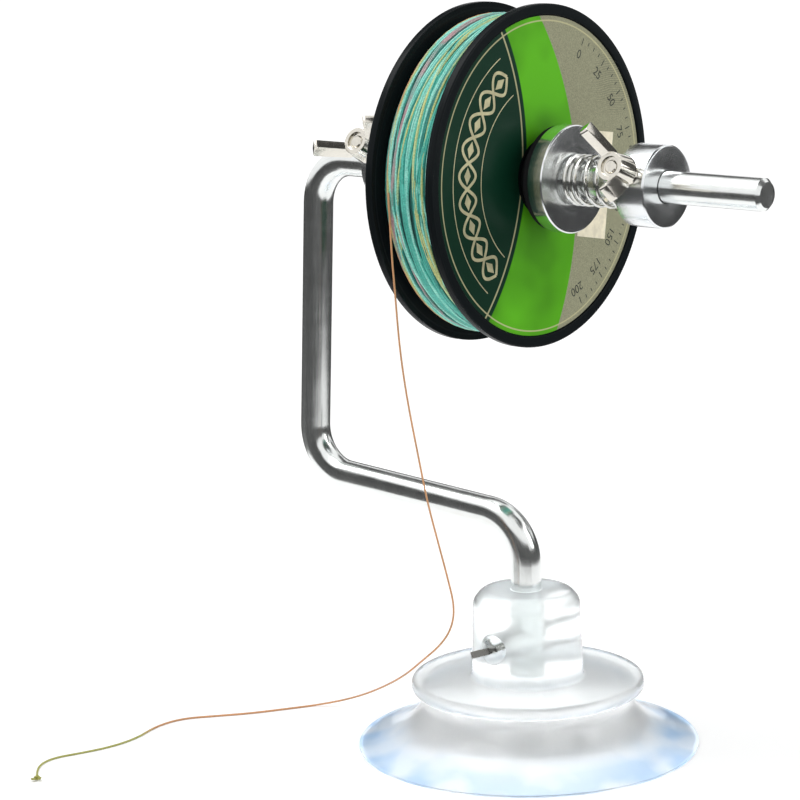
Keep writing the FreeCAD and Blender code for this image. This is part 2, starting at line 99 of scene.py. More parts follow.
class NodeSheet:
    """A material's nodes, with short calls for those that the finishes share."""

    # The Mix node gives its sockets for colours the same names as those for numbers.
    COLOUR_A, COLOUR_B, COLOUR_RESULT = 6, 7, 2

    def __init__(self, name: str) -> None:
        """Start a material that holds only its shader."""
        self.material = bpy.data.materials.new(name)
        self.material.use_nodes = True
        self.tree = self.material.node_tree
        self.shader = self.tree.nodes["Principled BSDF"]

    def feed(self, socket: Socket, value: object) -> None:
        """Link a socket's value in, or set it where it is a plain number or colour.

        Args:
            socket: the input that is fed.
            value: another node's output, a number, a colour or a vector.
        """
        if isinstance(value, bpy.types.NodeSocket):
            self.tree.links.new(value, socket)
        elif socket.type == "RGBA" and len(value) == 3:
            socket.default_value = (*value, 1.0)
        else:
            socket.default_value = value

    def node(self, kind: str, sockets: dict, **settings: object) -> bpy.types.Node:
        """Add one node.

        Args:
            kind: the node's type, without its ShaderNode prefix.
            sockets: values or sockets for its inputs, by name or number.
            settings: the node's own properties.

        Returns:
            The new node.
        """
        made = self.tree.nodes.new("ShaderNode" + kind)
        for name, value in settings.items():
            setattr(made, name, value)
        for key, value in sockets.items():
            self.feed(made.inputs[key], value)
        return made

    def finish(self, **sockets: object) -> bpy.types.Material:
        """Feed the shader's inputs.

        Args:
            sockets: what each input gets, by its name with underscores for spaces.

        Returns:
            The finished material.
        """
        for name, value in sockets.items():
            self.feed(self.shader.inputs[name.replace("_", " ")], value)
        return self.material

    def place(self, scale: Place = (1.0, 1.0, 1.0), centre: Place = ORIGIN) -> Socket:
        """Object coordinates in millimetres.

        Args:
            scale: what each axis is multiplied by at the end.
            centre: the place that they are measured from.

        Returns:
            The scaled coordinates.
        """
        source = self.node("TexCoord", {}).outputs["Object"]
        shift = [-share * middle for share, middle in zip(scale, centre)]
        return self.node("Mapping", {"Vector": source, "Location": shift,
                                     "Scale": [share / MM for share in scale]}).outputs[0]

    def carried(self, name: str, scale: Place) -> Socket:
        """A vector attribute of the mesh, scaled."""
        source = self.node("Attribute", {}, attribute_name=name).outputs["Vector"]
        return self.node("Mapping", {"Vector": source, "Scale": scale}).outputs[0]

    def ringed(self) -> Socket:
        """Coordinates that stay the same round the spindle: (x, radius, 0)."""
        along = self.part(self.place(centre=ON_SPINDLE), "X")
        radius = self.measure("LENGTH", self.place((0.0, 1.0, 1.0), ON_SPINDLE))
        return self.node("CombineXYZ", {"X": along, "Y": radius}).outputs[0]

    def part(self, vector: Socket, letter: str) -> Socket:
        """One of a vector's three parts, by its letter."""
        return self.node("SeparateXYZ", {"Vector": vector}).outputs[letter]

    def measure(self, operation: str, *vectors: object) -> Socket:
        """A number worked out from vectors, such as a length or a distance."""
        return self.node("VectorMath", dict(enumerate(vectors)), operation=operation).outputs["Value"]

    def noise(self, vector: Socket, scale: float, detail: float = 3.0) -> Socket:
        """Noise from 0 to 1, with its middle at one half."""
        return self.node("TexNoise", {"Vector": vector, "Scale": scale, "Detail": detail}).outputs[0]

    def ramp(self, factor: Socket, *stops: tuple[float, Colour]) -> Socket:
        """Colours at places from 0 to 1.

        Args:
            factor: the number that picks the colour.
            stops: each place and its colour, in order.

        Returns:
            The blended colour.
        """
        made = self.node("ValToRGB", {0: factor})
        elements = made.color_ramp.elements
        while len(elements) < len(stops):
            elements.new(1.0)
        for element, (share, colour) in zip(elements, stops):
            element.position = share
            element.color = (*colour, 1.0)
        return made.outputs[0]

    def spread(self, factor: Socket, low: float, high: float,
               start: float = 0.0, end: float = 1.0) -> Socket:
        """Map start..end to low..high, held at both ends."""
        return self.node("MapRange", {"Value": factor, "From Min": start, "From Max": end,
                                      "To Min": low, "To Max": high}).outputs[0]

    def maths(self, operation: str, *values: object) -> Socket:
        """One sum of numbers or sockets."""
        return self.node("Math", dict(enumerate(values)), operation=operation).outputs[0]

    def mix(self, factor: object, first: object, second: object, blend: str = "MIX") -> Socket:
        """Blend two colours."""
        return self.node("Mix", {0: factor, self.COLOUR_A: first, self.COLOUR_B: second},
                         data_type="RGBA", blend_type=blend).outputs[self.COLOUR_RESULT]

    def bump(self, height: Socket, depth: float, strength: float = 1.0) -> Socket:
        """A normal that is roughened by a height map of a depth in millimetres."""
        return self.node("Bump", {"Height": height, "Distance": depth * MM,
                                  "Strength": strength}).outputs[0]


def tinted(colour: Colour, share: float) -> Colour:
    """The same colour, lighter or darker by a share."""
    return tuple(min(1.0, part * share) for part in colour)


@dataclass(frozen=True)
class Metal:
    """A bare or plated metal."""

    name: str
    colour: Colour
    roughness: float
    grain: Grain
    depth: float = 0.003
    contrast: float = 0.12
    ring_scale: float = 5.0
    streak_scale: Place = (4.0, 4.0, 0.09)
    plate_scale: float = 1.3
    cloud_scale: float = 0.22
    marks_share: float = 0.6
    marks_low: float = 0.3
    marks_high: float = 0.7
    roughness_swing: float = 0.3

    def marks(self, sheet: NodeSheet) -> Socket:
        """Noise that runs the way of the metal's grain.

        Args:
            sheet: the material's nodes.

        Returns:
            The noise.
        """
        if self.grain is Grain.TURNED:
            return sheet.noise(sheet.ringed(), self.ring_scale, 5.0)
        if self.grain is Grain.DRAWN:
            return sheet.noise(sheet.carried("straight", self.streak_scale), 1.0, 5.0)
        return sheet.noise(sheet.place(), self.plate_scale, 4.0)

    @cache
    def material(self) -> bpy.types.Material:
        """Make the finish once, and hand it to every piece that asks.

        Returns:
            The material.
        """
        sheet = NodeSheet(self.name)
        marks = self.marks(sheet)
        clouds = sheet.noise(sheet.place(), self.cloud_scale, 2.0)
        both = sheet.maths("MULTIPLY_ADD", marks, self.marks_share,
                           sheet.maths("MULTIPLY", clouds, 1 - self.marks_share))
        return sheet.finish(
            Base_Color=sheet.ramp(both, (self.marks_low, tinted(self.colour, 1 - self.contrast)),
                                  (self.marks_high, tinted(self.colour, 1 + self.contrast))),
            Metallic=1.0,
            Roughness=sheet.spread(both, self.roughness * (1 - self.roughness_swing),
                                   self.roughness * (1 + self.roughness_swing),
                                   self.marks_low, self.marks_high),
            Normal=sheet.bump(marks, self.depth))


@dataclass(frozen=True)
class Moulded:
    """A moulded plastic or rubber with a fine skin."""

    name: str
    colour: Colour
    roughness: float
    speckle: float
    depth: float
    scuff: float = 0.15
    shine: float = 0.06
    wear_scale: float = 0.7
    wear_low: float = 0.35
    wear_high: float = 0.75

    @cache
    def material(self) -> bpy.types.Material:
        """Make the finish once, and hand it to every piece that asks.

        Returns:
            The material.
        """
        sheet = NodeSheet(self.name)
        skin = sheet.noise(sheet.place(), 1.0 / self.speckle, 4.0)
        wear = sheet.noise(sheet.ringed(), self.wear_scale, 5.0)
        return sheet.finish(
            Base_Color=sheet.ramp(wear, (self.wear_low, self.colour),
                                  (self.wear_high, tinted(self.colour, 1 + 4 * self.scuff))),
            Roughness=sheet.spread(wear, self.roughness, self.roughness + self.scuff,
                                   self.wear_low, self.wear_high),
            Specular_IOR_Level=self.shine,
            Normal=sheet.bump(skin, self.depth))


@dataclass(frozen=True)
class ClearSoftPlastic:
    """Clear soft plastic: milky in the thick hub, clearer in the thin bell, whose sides carry a bluish
    painted refraction.
    """

    name: str = "clear_soft_plastic"
    hub: Colour = (0.93, 0.97, 0.975)
    flange: Colour = (0.985, 0.99, 0.99)
    # painted refraction: the bluish tint that the bell's sides take on in their colour
    bell: Colour = (0.48, 0.65, 0.84)
    hub_z: float = 18.5
    bell_z: float = 12.5
    neck_r: float = 29.0
    rim_r: float = 37.0
    # the painted refraction's two lobes lie along this direction and against it
    lobe_turn_deg: float = 41.5
    lobe_least: float = 0.62
    cloud_scale: float = 0.075
    cloud_least: float = 0.4
    fade_z: float = 3.0
    ripple_scale: float = 0.35
    bell_roughness: float = 0.3
    hub_roughness: float = 0.24
    bell_clearness: float = 0.8
    hub_clearness: float = 0.74

    def painted_refraction(self, sheet: NodeSheet, height: Socket) -> Socket:
        """How strongly the painted refraction tints the plastic: in two wide lobes at the bell's sides, and
        in clouds between them.

        Args:
            sheet: the material's nodes.
            height: the height above the table in millimetres.

        Returns:
            A number from 0 to 1.
        """
        flat = sheet.place((1.0, 1.0, 0.0))
        radius = sheet.measure("LENGTH", flat)
        turn = math.radians(self.lobe_turn_deg)
        across = sheet.measure("DOT_PRODUCT", flat, (math.cos(turn), math.sin(turn), 0.0))
        side = sheet.maths("DIVIDE", sheet.maths("ABSOLUTE", across), sheet.maths("MAXIMUM", radius, 1.0))
        lobe = sheet.spread(side, self.lobe_least, 1.0, 0.35, 0.9)
        cloud = sheet.spread(sheet.noise(sheet.place(), self.cloud_scale, 1.5), 0.0, 1.0, 0.42, 0.58)
        outer = sheet.spread(radius, 0.0, 1.0, self.neck_r, self.rim_r)
        low = sheet.spread(height, 1.0, 0.0, self.fade_z, self.bell_z)
        patchy = sheet.maths("MULTIPLY", lobe, sheet.spread(cloud, self.cloud_least, 1.0))
        return sheet.maths("MULTIPLY", sheet.maths("MULTIPLY", patchy, outer), low)

    @cache
    def material(self) -> bpy.types.Material:
        """Make the finish once, and hand it to every piece that asks.

        Returns:
            The material.
        """
        sheet = NodeSheet(self.name)
        height = sheet.part(sheet.place(), "Z")
        body = sheet.mix(sheet.spread(height, 0.0, 1.0, self.bell_z, self.hub_z), self.flange, self.hub)
        ripple = sheet.noise(sheet.place((1.0, 1.0, 0.5)), self.ripple_scale, 3.0)
        return sheet.finish(
            # painted refraction: the bluish tint is mixed into the base colour
            Base_Color=sheet.mix(self.painted_refraction(sheet, height), body, self.bell),
            Roughness=sheet.spread(height, self.bell_roughness, self.hub_roughness,
                                   self.bell_z, self.hub_z),
            Transmission_Weight=sheet.spread(height, self.bell_clearness, self.hub_clearness,
                                             self.bell_z, self.hub_z),
            Subsurface_Weight=0.8, Subsurface_Radius=(1.0, 1.0, 1.0), Subsurface_Scale=0.009,
            IOR=1.22, Coat_Weight=0.5, Coat_Roughness=0.06,
            Normal=sheet.bump(ripple, 0.1, 0.5))


@dataclass(frozen=True)
class BraidedLine:
    """A tightly braided line, in one of several shades."""

    name: str
    colour: Colour
    other: Colour
    shadow: float = 0.62
    split_y: float = -1000.0
    far_colour: Colour = (0.3, 0.3, 0.06)
    split_soft: float = 4.0
    weave_scale: float = 2.6
    drift_scale: float = 0.12

    @cache
    def material(self) -> bpy.types.Material:
        """Make the finish once, and hand it to every piece that asks.

        Returns:
            The material.
        """
        sheet = NodeSheet(self.name)
        place = sheet.place()
        weave = sheet.noise(place, self.weave_scale, 3.0)
        drift = sheet.noise(place, self.drift_scale, 2.0)
        near = sheet.ramp(drift, (0.4, self.colour), (0.6, self.other))
        beyond = sheet.spread(sheet.part(place, "Y"), 1.0, 0.0,
                              self.split_y - self.split_soft, self.split_y + self.split_soft)
        dyed = sheet.mix(beyond, near, self.far_colour)
        dark = sheet.ramp(sheet.spread(weave, self.shadow, 1.0, 0.3, 0.6), (0.0, BLACK), (1.0, WHITE))
        shade = sheet.mix(1.0, dyed, dark, "MULTIPLY")
        return sheet.finish(Base_Color=shade, Roughness=0.5, Sheen_Weight=0.05, Sheen_Roughness=0.4,
                            Normal=sheet.bump(weave, 0.05))


@dataclass(frozen=True)
class LabelPrint:
    """Printed and varnished paper: dark green, bright green and khaki fields."""

    name: str = "label_print"
    dark: Colour = (0.003, 0.030, 0.015)
    bright: Colour = (0.085, 0.37, 0.008)
    khaki: Colour = (0.29, 0.29, 0.19)
    gold: Colour = (0.56, 0.53, 0.30)
    ink: Colour = (0.02, 0.03, 0.02)
    dark_centre: Place = (0.0, -68.0, 8.0)
    dark_r: float = 62.0
    khaki_centre: Place = (0.0, -62.0, -4.0)
    khaki_r: float = 76.0
    ripple_centre: Place = (0.0, 31.0, 22.0)
    ripple_r: float = 8.5
    print_soft: float = 0.15
    rule_soft: float = 0.08
    edge_rule_r: float = 38.9
    edge_rule_width: float = 0.35
    field_rule_inset: float = 1.6
    field_rule_width: float = 0.5
    gold_share: float = 0.75

    def inside(self, sheet: NodeSheet, place: Socket, centre: Place, radius: float, soft: float) -> Socket:
        """One inside a circle on the label, nought outside it."""
        away = sheet.measure("DISTANCE", place, centre)
        return sheet.spread(away, 1.0, 0.0, radius - soft, radius + soft)

    def ring(self, sheet: NodeSheet, place: Socket, centre: Place, radius: float, width: float) -> Socket:
        """A thin printed circle.

        Args:
            sheet: the material's nodes.
            place: the place on the label.
            centre: the circle's centre.
            radius: its radius.
            width: how wide its line is.

        Returns:
            One on the circle, nought off it.
        """
        away = sheet.measure("DISTANCE", place, centre)
        off = sheet.maths("ABSOLUTE", sheet.maths("SUBTRACT", away, radius))
        return sheet.spread(off, 1.0, 0.0, width / 2 - self.rule_soft, width / 2 + self.rule_soft)

    @cache
    def material(self) -> bpy.types.Material:
        """Make the finish once, and hand it to every piece that asks.

        Returns:
            The material.
        """
        sheet = NodeSheet(self.name)
        place = sheet.place((0.0, 1.0, 1.0), ON_SPINDLE)
        paper = sheet.noise(sheet.place(), 4.0, 4.0)
        drift = sheet.noise(sheet.place(), 0.05, 2.0)
        bright = sheet.ramp(drift, (0.35, tinted(self.bright, 0.75)), (0.65, tinted(self.bright, 1.3)))
        khaki = sheet.ramp(paper, (0.35, tinted(self.khaki, 0.8)), (0.65, tinted(self.khaki, 1.2)))
        wave = sheet.node("TexWave", {"Vector": place, "Scale": 0.55, "Distortion": 5.0, "Detail": 0.0,
                                      "Detail Scale": 0.35}, bands_direction="Z").outputs[1]
        ripple = sheet.maths("MULTIPLY", sheet.spread(wave, 0.0, 0.75, 0.94, 0.985),
                             self.inside(sheet, place, self.ripple_centre, self.ripple_r, 2.5))
        fields = sheet.mix(ripple, khaki, self.ink)
        for centre, radius, colour in ((self.khaki_centre, self.khaki_r, bright),
                                       (self.dark_centre, self.dark_r, self.dark)):
            fields = sheet.mix(self.inside(sheet, place, centre, radius, self.print_soft), fields, colour)
        rules = sheet.maths("MAXIMUM",
                            self.ring(sheet, place, ORIGIN, self.edge_rule_r, self.edge_rule_width),
                            self.ring(sheet, place, self.dark_centre, self.dark_r - self.field_rule_inset,
                                      self.field_rule_width))
        fields = sheet.mix(sheet.maths("MULTIPLY", rules, self.gold_share), fields, self.gold)
        return sheet.finish(Base_Color=fields, Roughness=sheet.spread(paper, 0.3, 0.45),
                            Specular_IOR_Level=0.14, Coat_Weight=0.04, Coat_Roughness=0.15,
                            Normal=sheet.bump(paper, 0.008))


@dataclass(frozen=True)
class PrintedInk:
    """A printed foil, ink or paper patch that stands on the label."""

    name: str
    colour: Colour
    metallic: float
    roughness: float

    @cache
    def material(self) -> bpy.types.Material:
        """Make the finish once, and hand it to every piece that asks.

        Returns:
            The material.
        """
        sheet = NodeSheet(self.name)
        worn = sheet.noise(sheet.place(), 0.5, 3.0)
        return sheet.finish(
            Base_Color=sheet.ramp(worn, (0.35, tinted(self.colour, 0.88)), (0.65, tinted(self.colour, 1.1))),
            Metallic=self.metallic,
            Roughness=sheet.spread(worn, self.roughness, self.roughness + 0.2),
            Normal=sheet.bump(worn, 0.01))


DRAWN_ROD = Metal("drawn_rod", (0.86, 0.88, 0.87), 0.2, Grain.DRAWN, 0.005, 0.08)
TURNED_BRIGHT = Metal("turned_bright", (0.84, 0.86, 0.87), 0.18, Grain.TURNED, 0.03, 0.06)
NICKEL = Metal("nickel_plate", (0.74, 0.71, 0.64), 0.12, Grain.PLATED, 0.004, 0.08)
SPRING_WIRE = Metal("spring_wire", (0.68, 0.68, 0.65), 0.16, Grain.PLATED, 0.003, 0.08)
PIN_WIRE = Metal("pin_wire", (0.36, 0.36, 0.34), 0.3, Grain.PLATED, 0.004, 0.15)
BLACK_PLASTIC = Moulded("black_plastic", (0.006, 0.008, 0.009), 0.22, 0.5, 0.006, 0.12)
BLACK_RUBBER = Moulded("black_rubber", (0.012, 0.012, 0.013), 0.6, 0.3, 0.02, 0.1)
CLEAR_PLASTIC = ClearSoftPlastic()
LABEL_PRINT = LabelPrint()
REAR_PRINT = LabelPrint("rear_label_print", bright=(0.004, 0.032, 0.017), khaki=(0.006, 0.03, 0.02))
GOLD_FOIL = PrintedInk("gold_foil", (0.60, 0.56, 0.34), 0.45, 0.3)
DARK_INK = PrintedInk("dark_ink", (0.02, 0.025, 0.02), 0.0, 0.4)
CREAM_PAPER = PrintedInk("cream_paper", (0.80, 0.74, 0.56), 0.0, 0.5)
LINE_SHADES = (
    BraidedLine("line_turquoise", (0.07, 0.50, 0.40), (0.11, 0.60, 0.49)),
    # partly painted shade: this colour also stands for the dark gaps between strands
    BraidedLine("line_sea_green", (0.01, 0.24, 0.20), (0.03, 0.34, 0.28)),
    # partly painted highlight: this colour also stands for the lit tops of strands
    BraidedLine("line_pale_aqua", (0.38, 0.88, 0.74), (0.26, 0.78, 0.66)),
    BraidedLine("line_yellow_green", (0.66, 0.70, 0.28), (0.45, 0.68, 0.38)),
    BraidedLine("line_rose_grey", (0.52, 0.34, 0.36), (0.24, 0.46, 0.40)),
)
LINE_SHADOW = BraidedLine("line_shadow", (0.003, 0.07, 0.065), (0.006, 0.12, 0.10))
TAIL_LINE = BraidedLine("line_tan", (0.74, 0.37, 0.17), (0.64, 0.33, 0.15), 0.8, -56.0, (0.42, 0.42, 0.10))


def rounded(points: Outline, radius: float | dict[int, float], closed: bool = True,
            steps: int = 4) -> Outline:
    """Round the corners of an outline.

    Args:
        points: the outline's corners.
        radius: one radius for all corners, or radii by the corner's number.
        closed: whether the last corner joins the first.
        steps: facets at each corner.

    Returns:
        The outline with its rounded corners.
    """
    result: Outline = []
    count = len(points)
    for number, point in enumerate(points):
        size = radius.get(number, 0.0) if isinstance(radius, dict) else radius
        if not size or (not closed and number in (0, count - 1)):
            result.append(point)
            continue
        here = Vector(point)
        back = Vector(points[number - 1]) - here
        ahead = Vector(points[(number + 1) % count]) - here
        reach = min(size / math.tan(back.angle(ahead) / 2), 0.48 * back.length, 0.48 * ahead.length)
        start = here + back.normalized() * reach
        end = here + ahead.normalized() * reach
        for step in range(steps + 1):
            share = step / steps
            spot = start * (1 - share) ** 2 + here * 2 * share * (1 - share) + end * share ** 2
            result.append((spot.x, spot.y))
    return result


def bowed(start: tuple[float, float], middle: tuple[float, float], end: tuple[float, float],
          steps: int = 14) -> Outline:
    """Points on a shallow bow.

    Args:
        start: its first place.
        middle: the place that it passes half way.
        end: its last place.
        steps: how many parts it is divided in.

    Returns:
        The points, both ends included.
    """
    first, last = Vector(start), Vector(end)
    pull = 2 * Vector(middle) - (first + last) / 2
    shares = [step / steps for step in range(steps + 1)]
    spots = [first * (1 - share) ** 2 + pull * 2 * share * (1 - share) + last * share ** 2
             for share in shares]
    return [(spot.x, spot.y) for spot in spots]


def lathe(outline: Outline, axis: Axis = Axis.SPINDLE, centre: Place = ON_SPINDLE,
          steps: int = 128, closed: bool = True) -> bmesh.types.BMesh:
    """Spin an outline of (along, radius) places into a closed skin.

    Args:
        outline: the section's corners.
        axis: what it is spun about.
        centre: a place on that axis.
        steps: facets round it.
        closed: whether the last corner joins the first; if not, both lie on the axis.

    Returns:
        The new mesh, in millimetres.
    """
    along, out = (Vector(way) for way in axis.value)
    mesh = bmesh.new()
    corners = [mesh.verts.new(Vector(centre) + along * run + out * radius) for run, radius in outline]
    for number in range(0 if closed else 1, len(corners)):
        mesh.edges.new((corners[number - 1], corners[number]))
    bmesh.ops.spin(mesh, geom=mesh.verts[:] + mesh.edges[:], cent=centre, axis=along,
                   angle=2 * math.pi, steps=steps, use_merge=True, use_duplicate=False)
    bmesh.ops.remove_doubles(mesh, verts=mesh.verts[:], dist=1e-4)
    bmesh.ops.recalc_face_normals(mesh, faces=mesh.faces[:])
    return mesh


def rod_between(start: Place, end: Place, radius: float, segments: int = 48) -> bmesh.types.BMesh:
    """A capped round bar between two places.

    Args:
        start: the centre of its first end.
        end: the centre of its other end.
        radius: its radius.
        segments: facets round it.

    Returns:
        The new mesh, in millimetres.
    """
    first, last = Vector(start), Vector(end)
    turn = (last - first).to_track_quat("Z", "Y").to_matrix().to_4x4()
    mesh = bmesh.new()
    bmesh.ops.create_cone(mesh, cap_ends=True, segments=segments, radius1=radius, radius2=radius,
                          depth=(last - first).length, matrix=Matrix.Translation((first + last) / 2) @ turn)
    return mesh


def in_scene(name: str, data: bpy.types.ID) -> bpy.types.Object:
    """Put a mesh, curve, lamp or camera in the scene.

    Args:
        name: the new object's name.
        data: what it shows.

    Returns:
        The new object, at the origin.
    """
    made = bpy.data.objects.new(name, data)
    bpy.context.scene.collection.objects.link(made)
    return made


def loose_object(mesh: bmesh.types.BMesh, name: str) -> bpy.types.Object:
    """Put a mesh in the scene as it is.

    Args:
        mesh: the mesh, which is used up.
        name: the new object's name.

    Returns:
        The new object.
    """
    data = bpy.data.meshes.new(name)
    mesh.to_mesh(data)
    mesh.free()
    return in_scene(name, data)


def as_mesh(name: str, data: bpy.types.Curve) -> bpy.types.Mesh:
    """Turn a curve or a text into a mesh.

    Args:
        name: the name of the object that holds it meanwhile.
        data: the curve or text, which is used up.

    Returns:
        Its mesh.
    """
    holder = in_scene(name, data)
    bpy.context.view_layer.update()
    mesh = bpy.data.meshes.new_from_object(holder)
    bpy.data.curves.remove(data)
    return mesh


def cut_away(body: bmesh.types.BMesh, tool: bmesh.types.BMesh) -> bmesh.types.BMesh:
    """Cut one closed mesh out of another; both are used up.

    Args:
        body: what is cut.
        tool: what is taken out of it.

    Returns:
        What is left.
    """
    kept, taken = loose_object(body, "kept"), loose_object(tool, "taken")
    modifier = kept.modifiers.new("cut", "BOOLEAN")
    modifier.operation = "DIFFERENCE"
    modifier.solver = "EXACT"
    modifier.object = taken
    result = bmesh.new()
    result.from_object(kept, bpy.context.evaluated_depsgraph_get())
    for spare in (kept, taken):
        bpy.data.meshes.remove(spare.data)
    return result


def as_piece(name: str, mesh: bmesh.types.BMesh, body: str,
             materials: list[bpy.types.Material], replaces: tuple[str, ...] = ()) -> bpy.types.Object:
    """Make a finished piece of a mesh drawn in millimetres.

    Args:
        name: the piece's name.
        mesh: its mesh, which is used up.
        body: the body that it rides on.
        materials: its finishes, by the faces' material numbers.
        replaces: the CAD nodes that it stands for.

    Returns:
        The new piece.
    """
    bmesh.ops.scale(mesh, vec=(MM, MM, MM), verts=mesh.verts[:])
    return dressed(loose_object(mesh, name), body, materials, replaces)


def dressed(piece: bpy.types.Object, body: str, materials: list[bpy.types.Material],
            replaces: tuple[str, ...] = ()) -> bpy.types.Object:
    """Give a piece its looks and its place among the bodies.

    Args:
        piece: the piece.
        body: the body that it rides on.
        materials: the finishes that it hasn't got yet.
        replaces: the CAD nodes that it stands for.

    Returns:
        The same piece.
    """
    for material in materials:
        piece.data.materials.append(material)
    if piece.type == "MESH":
        piece.data.shade_smooth()
        piece.data.set_sharp_from_angle(angle=math.radians(CREASE_DEG))
    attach(piece, body)
    if replaces:
        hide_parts(*replaces)
    LOG.info("%s rides on %s", piece.name, body)
    return piece


def redress(node: str, material: bpy.types.Material) -> None:
    """Give a CAD node that stays in view a better material.

    Args:
        node: the node's name.
        material: its new material.
    """
    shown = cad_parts[node]
    if not shown.material_slots:
        shown.data.materials.append(material)
    for place in shown.material_slots:
        place.material = material
    LOG.info("%s keeps its CAD shape", node)


def strands(name: str, runs: list[tuple[list[Vector], int]], radius: float,
            materials: list[bpy.types.Material], resolution: int = 1) -> bpy.types.Object:
    """Round strands along runs of places, as one mesh.

    Args:
        name: the new object's name.
        runs: each strand's places in millimetres and its material's number.
        radius: the strands' radius in millimetres.
        materials: their finishes, by the strands' material numbers.
        resolution: how finely their round section is divided.

    Returns:
        The new object.
    """
    curve = bpy.data.curves.new(name, "CURVE")
    curve.dimensions = "3D"
    curve.bevel_depth = radius * MM
    curve.bevel_resolution = resolution
    curve.use_fill_caps = True
    for material in materials:
        curve.materials.append(material)
    for places, number in runs:
        spline = curve.splines.new("POLY")
        spline.points.add(len(places) - 1)
        for point, place in zip(spline.points, places):
            point.co = (*(place * MM), 1.0)
        spline.material_index = number
    return in_scene(name, as_mesh(name + "_path", curve))


def about_spindle(along: float, radius: float, turn: float) -> Vector:
    """A place at a distance from the spindle's axis, turned from +Y towards +Z."""
    return Vector((along, radius * math.cos(turn), SPINDLE_Z + radius * math.sin(turn)))


@dataclass
class PhotoCamera:
    """The camera that was fitted to the photograph's outlines."""

    place: Place = (0.453452, -0.559594, 0.240514)
    azimuth_deg: float = 41.531
    elevation_deg: float = 11.634
    roll_deg: float = -1.455
    focal_px: float = 2864.435
    frame_px: float = 800.0
    sensor: float = 36.0

    def build(self) -> None:
        """Make the camera and set it as the scene's."""
        turn, rise, roll = (math.radians(angle) for angle in
                            (self.azimuth_deg, self.elevation_deg, self.roll_deg))
        back = Vector((math.sin(turn) * math.cos(rise), -math.cos(turn) * math.cos(rise), math.sin(rise)))
        level = Vector((math.cos(turn), math.sin(turn), 0.0))
        upright = back.cross(level)
        right = level * math.cos(roll) + upright * math.sin(roll)
        up = upright * math.cos(roll) - level * math.sin(roll)
        lens = bpy.data.cameras.new("photo_camera")
        lens.sensor_width = self.sensor
        lens.lens = self.focal_px / self.frame_px * self.sensor
        lens.clip_start, lens.clip_end = 0.05, 30.0
        camera = in_scene("photo_camera", lens)
        matrix = Matrix((right, up, back)).transposed().to_4x4()
        matrix.translation = self.place
        camera.matrix_world = matrix
        bpy.context.scene.camera = camera


@dataclass(frozen=True)
class Card:
    """A dark card, seen only in mirrored rays: part of an upright ring about the object."""

    name: str
    radius: float
    foot: float
    head: float
    start_deg: float
    end_deg: float
    foot_grey: float
    head_grey: float


@dataclass(frozen=True)
class Lamp:
    """A square soft lamp, in metres and watts."""

    name: str
    place: Place
    size: float
    power: float


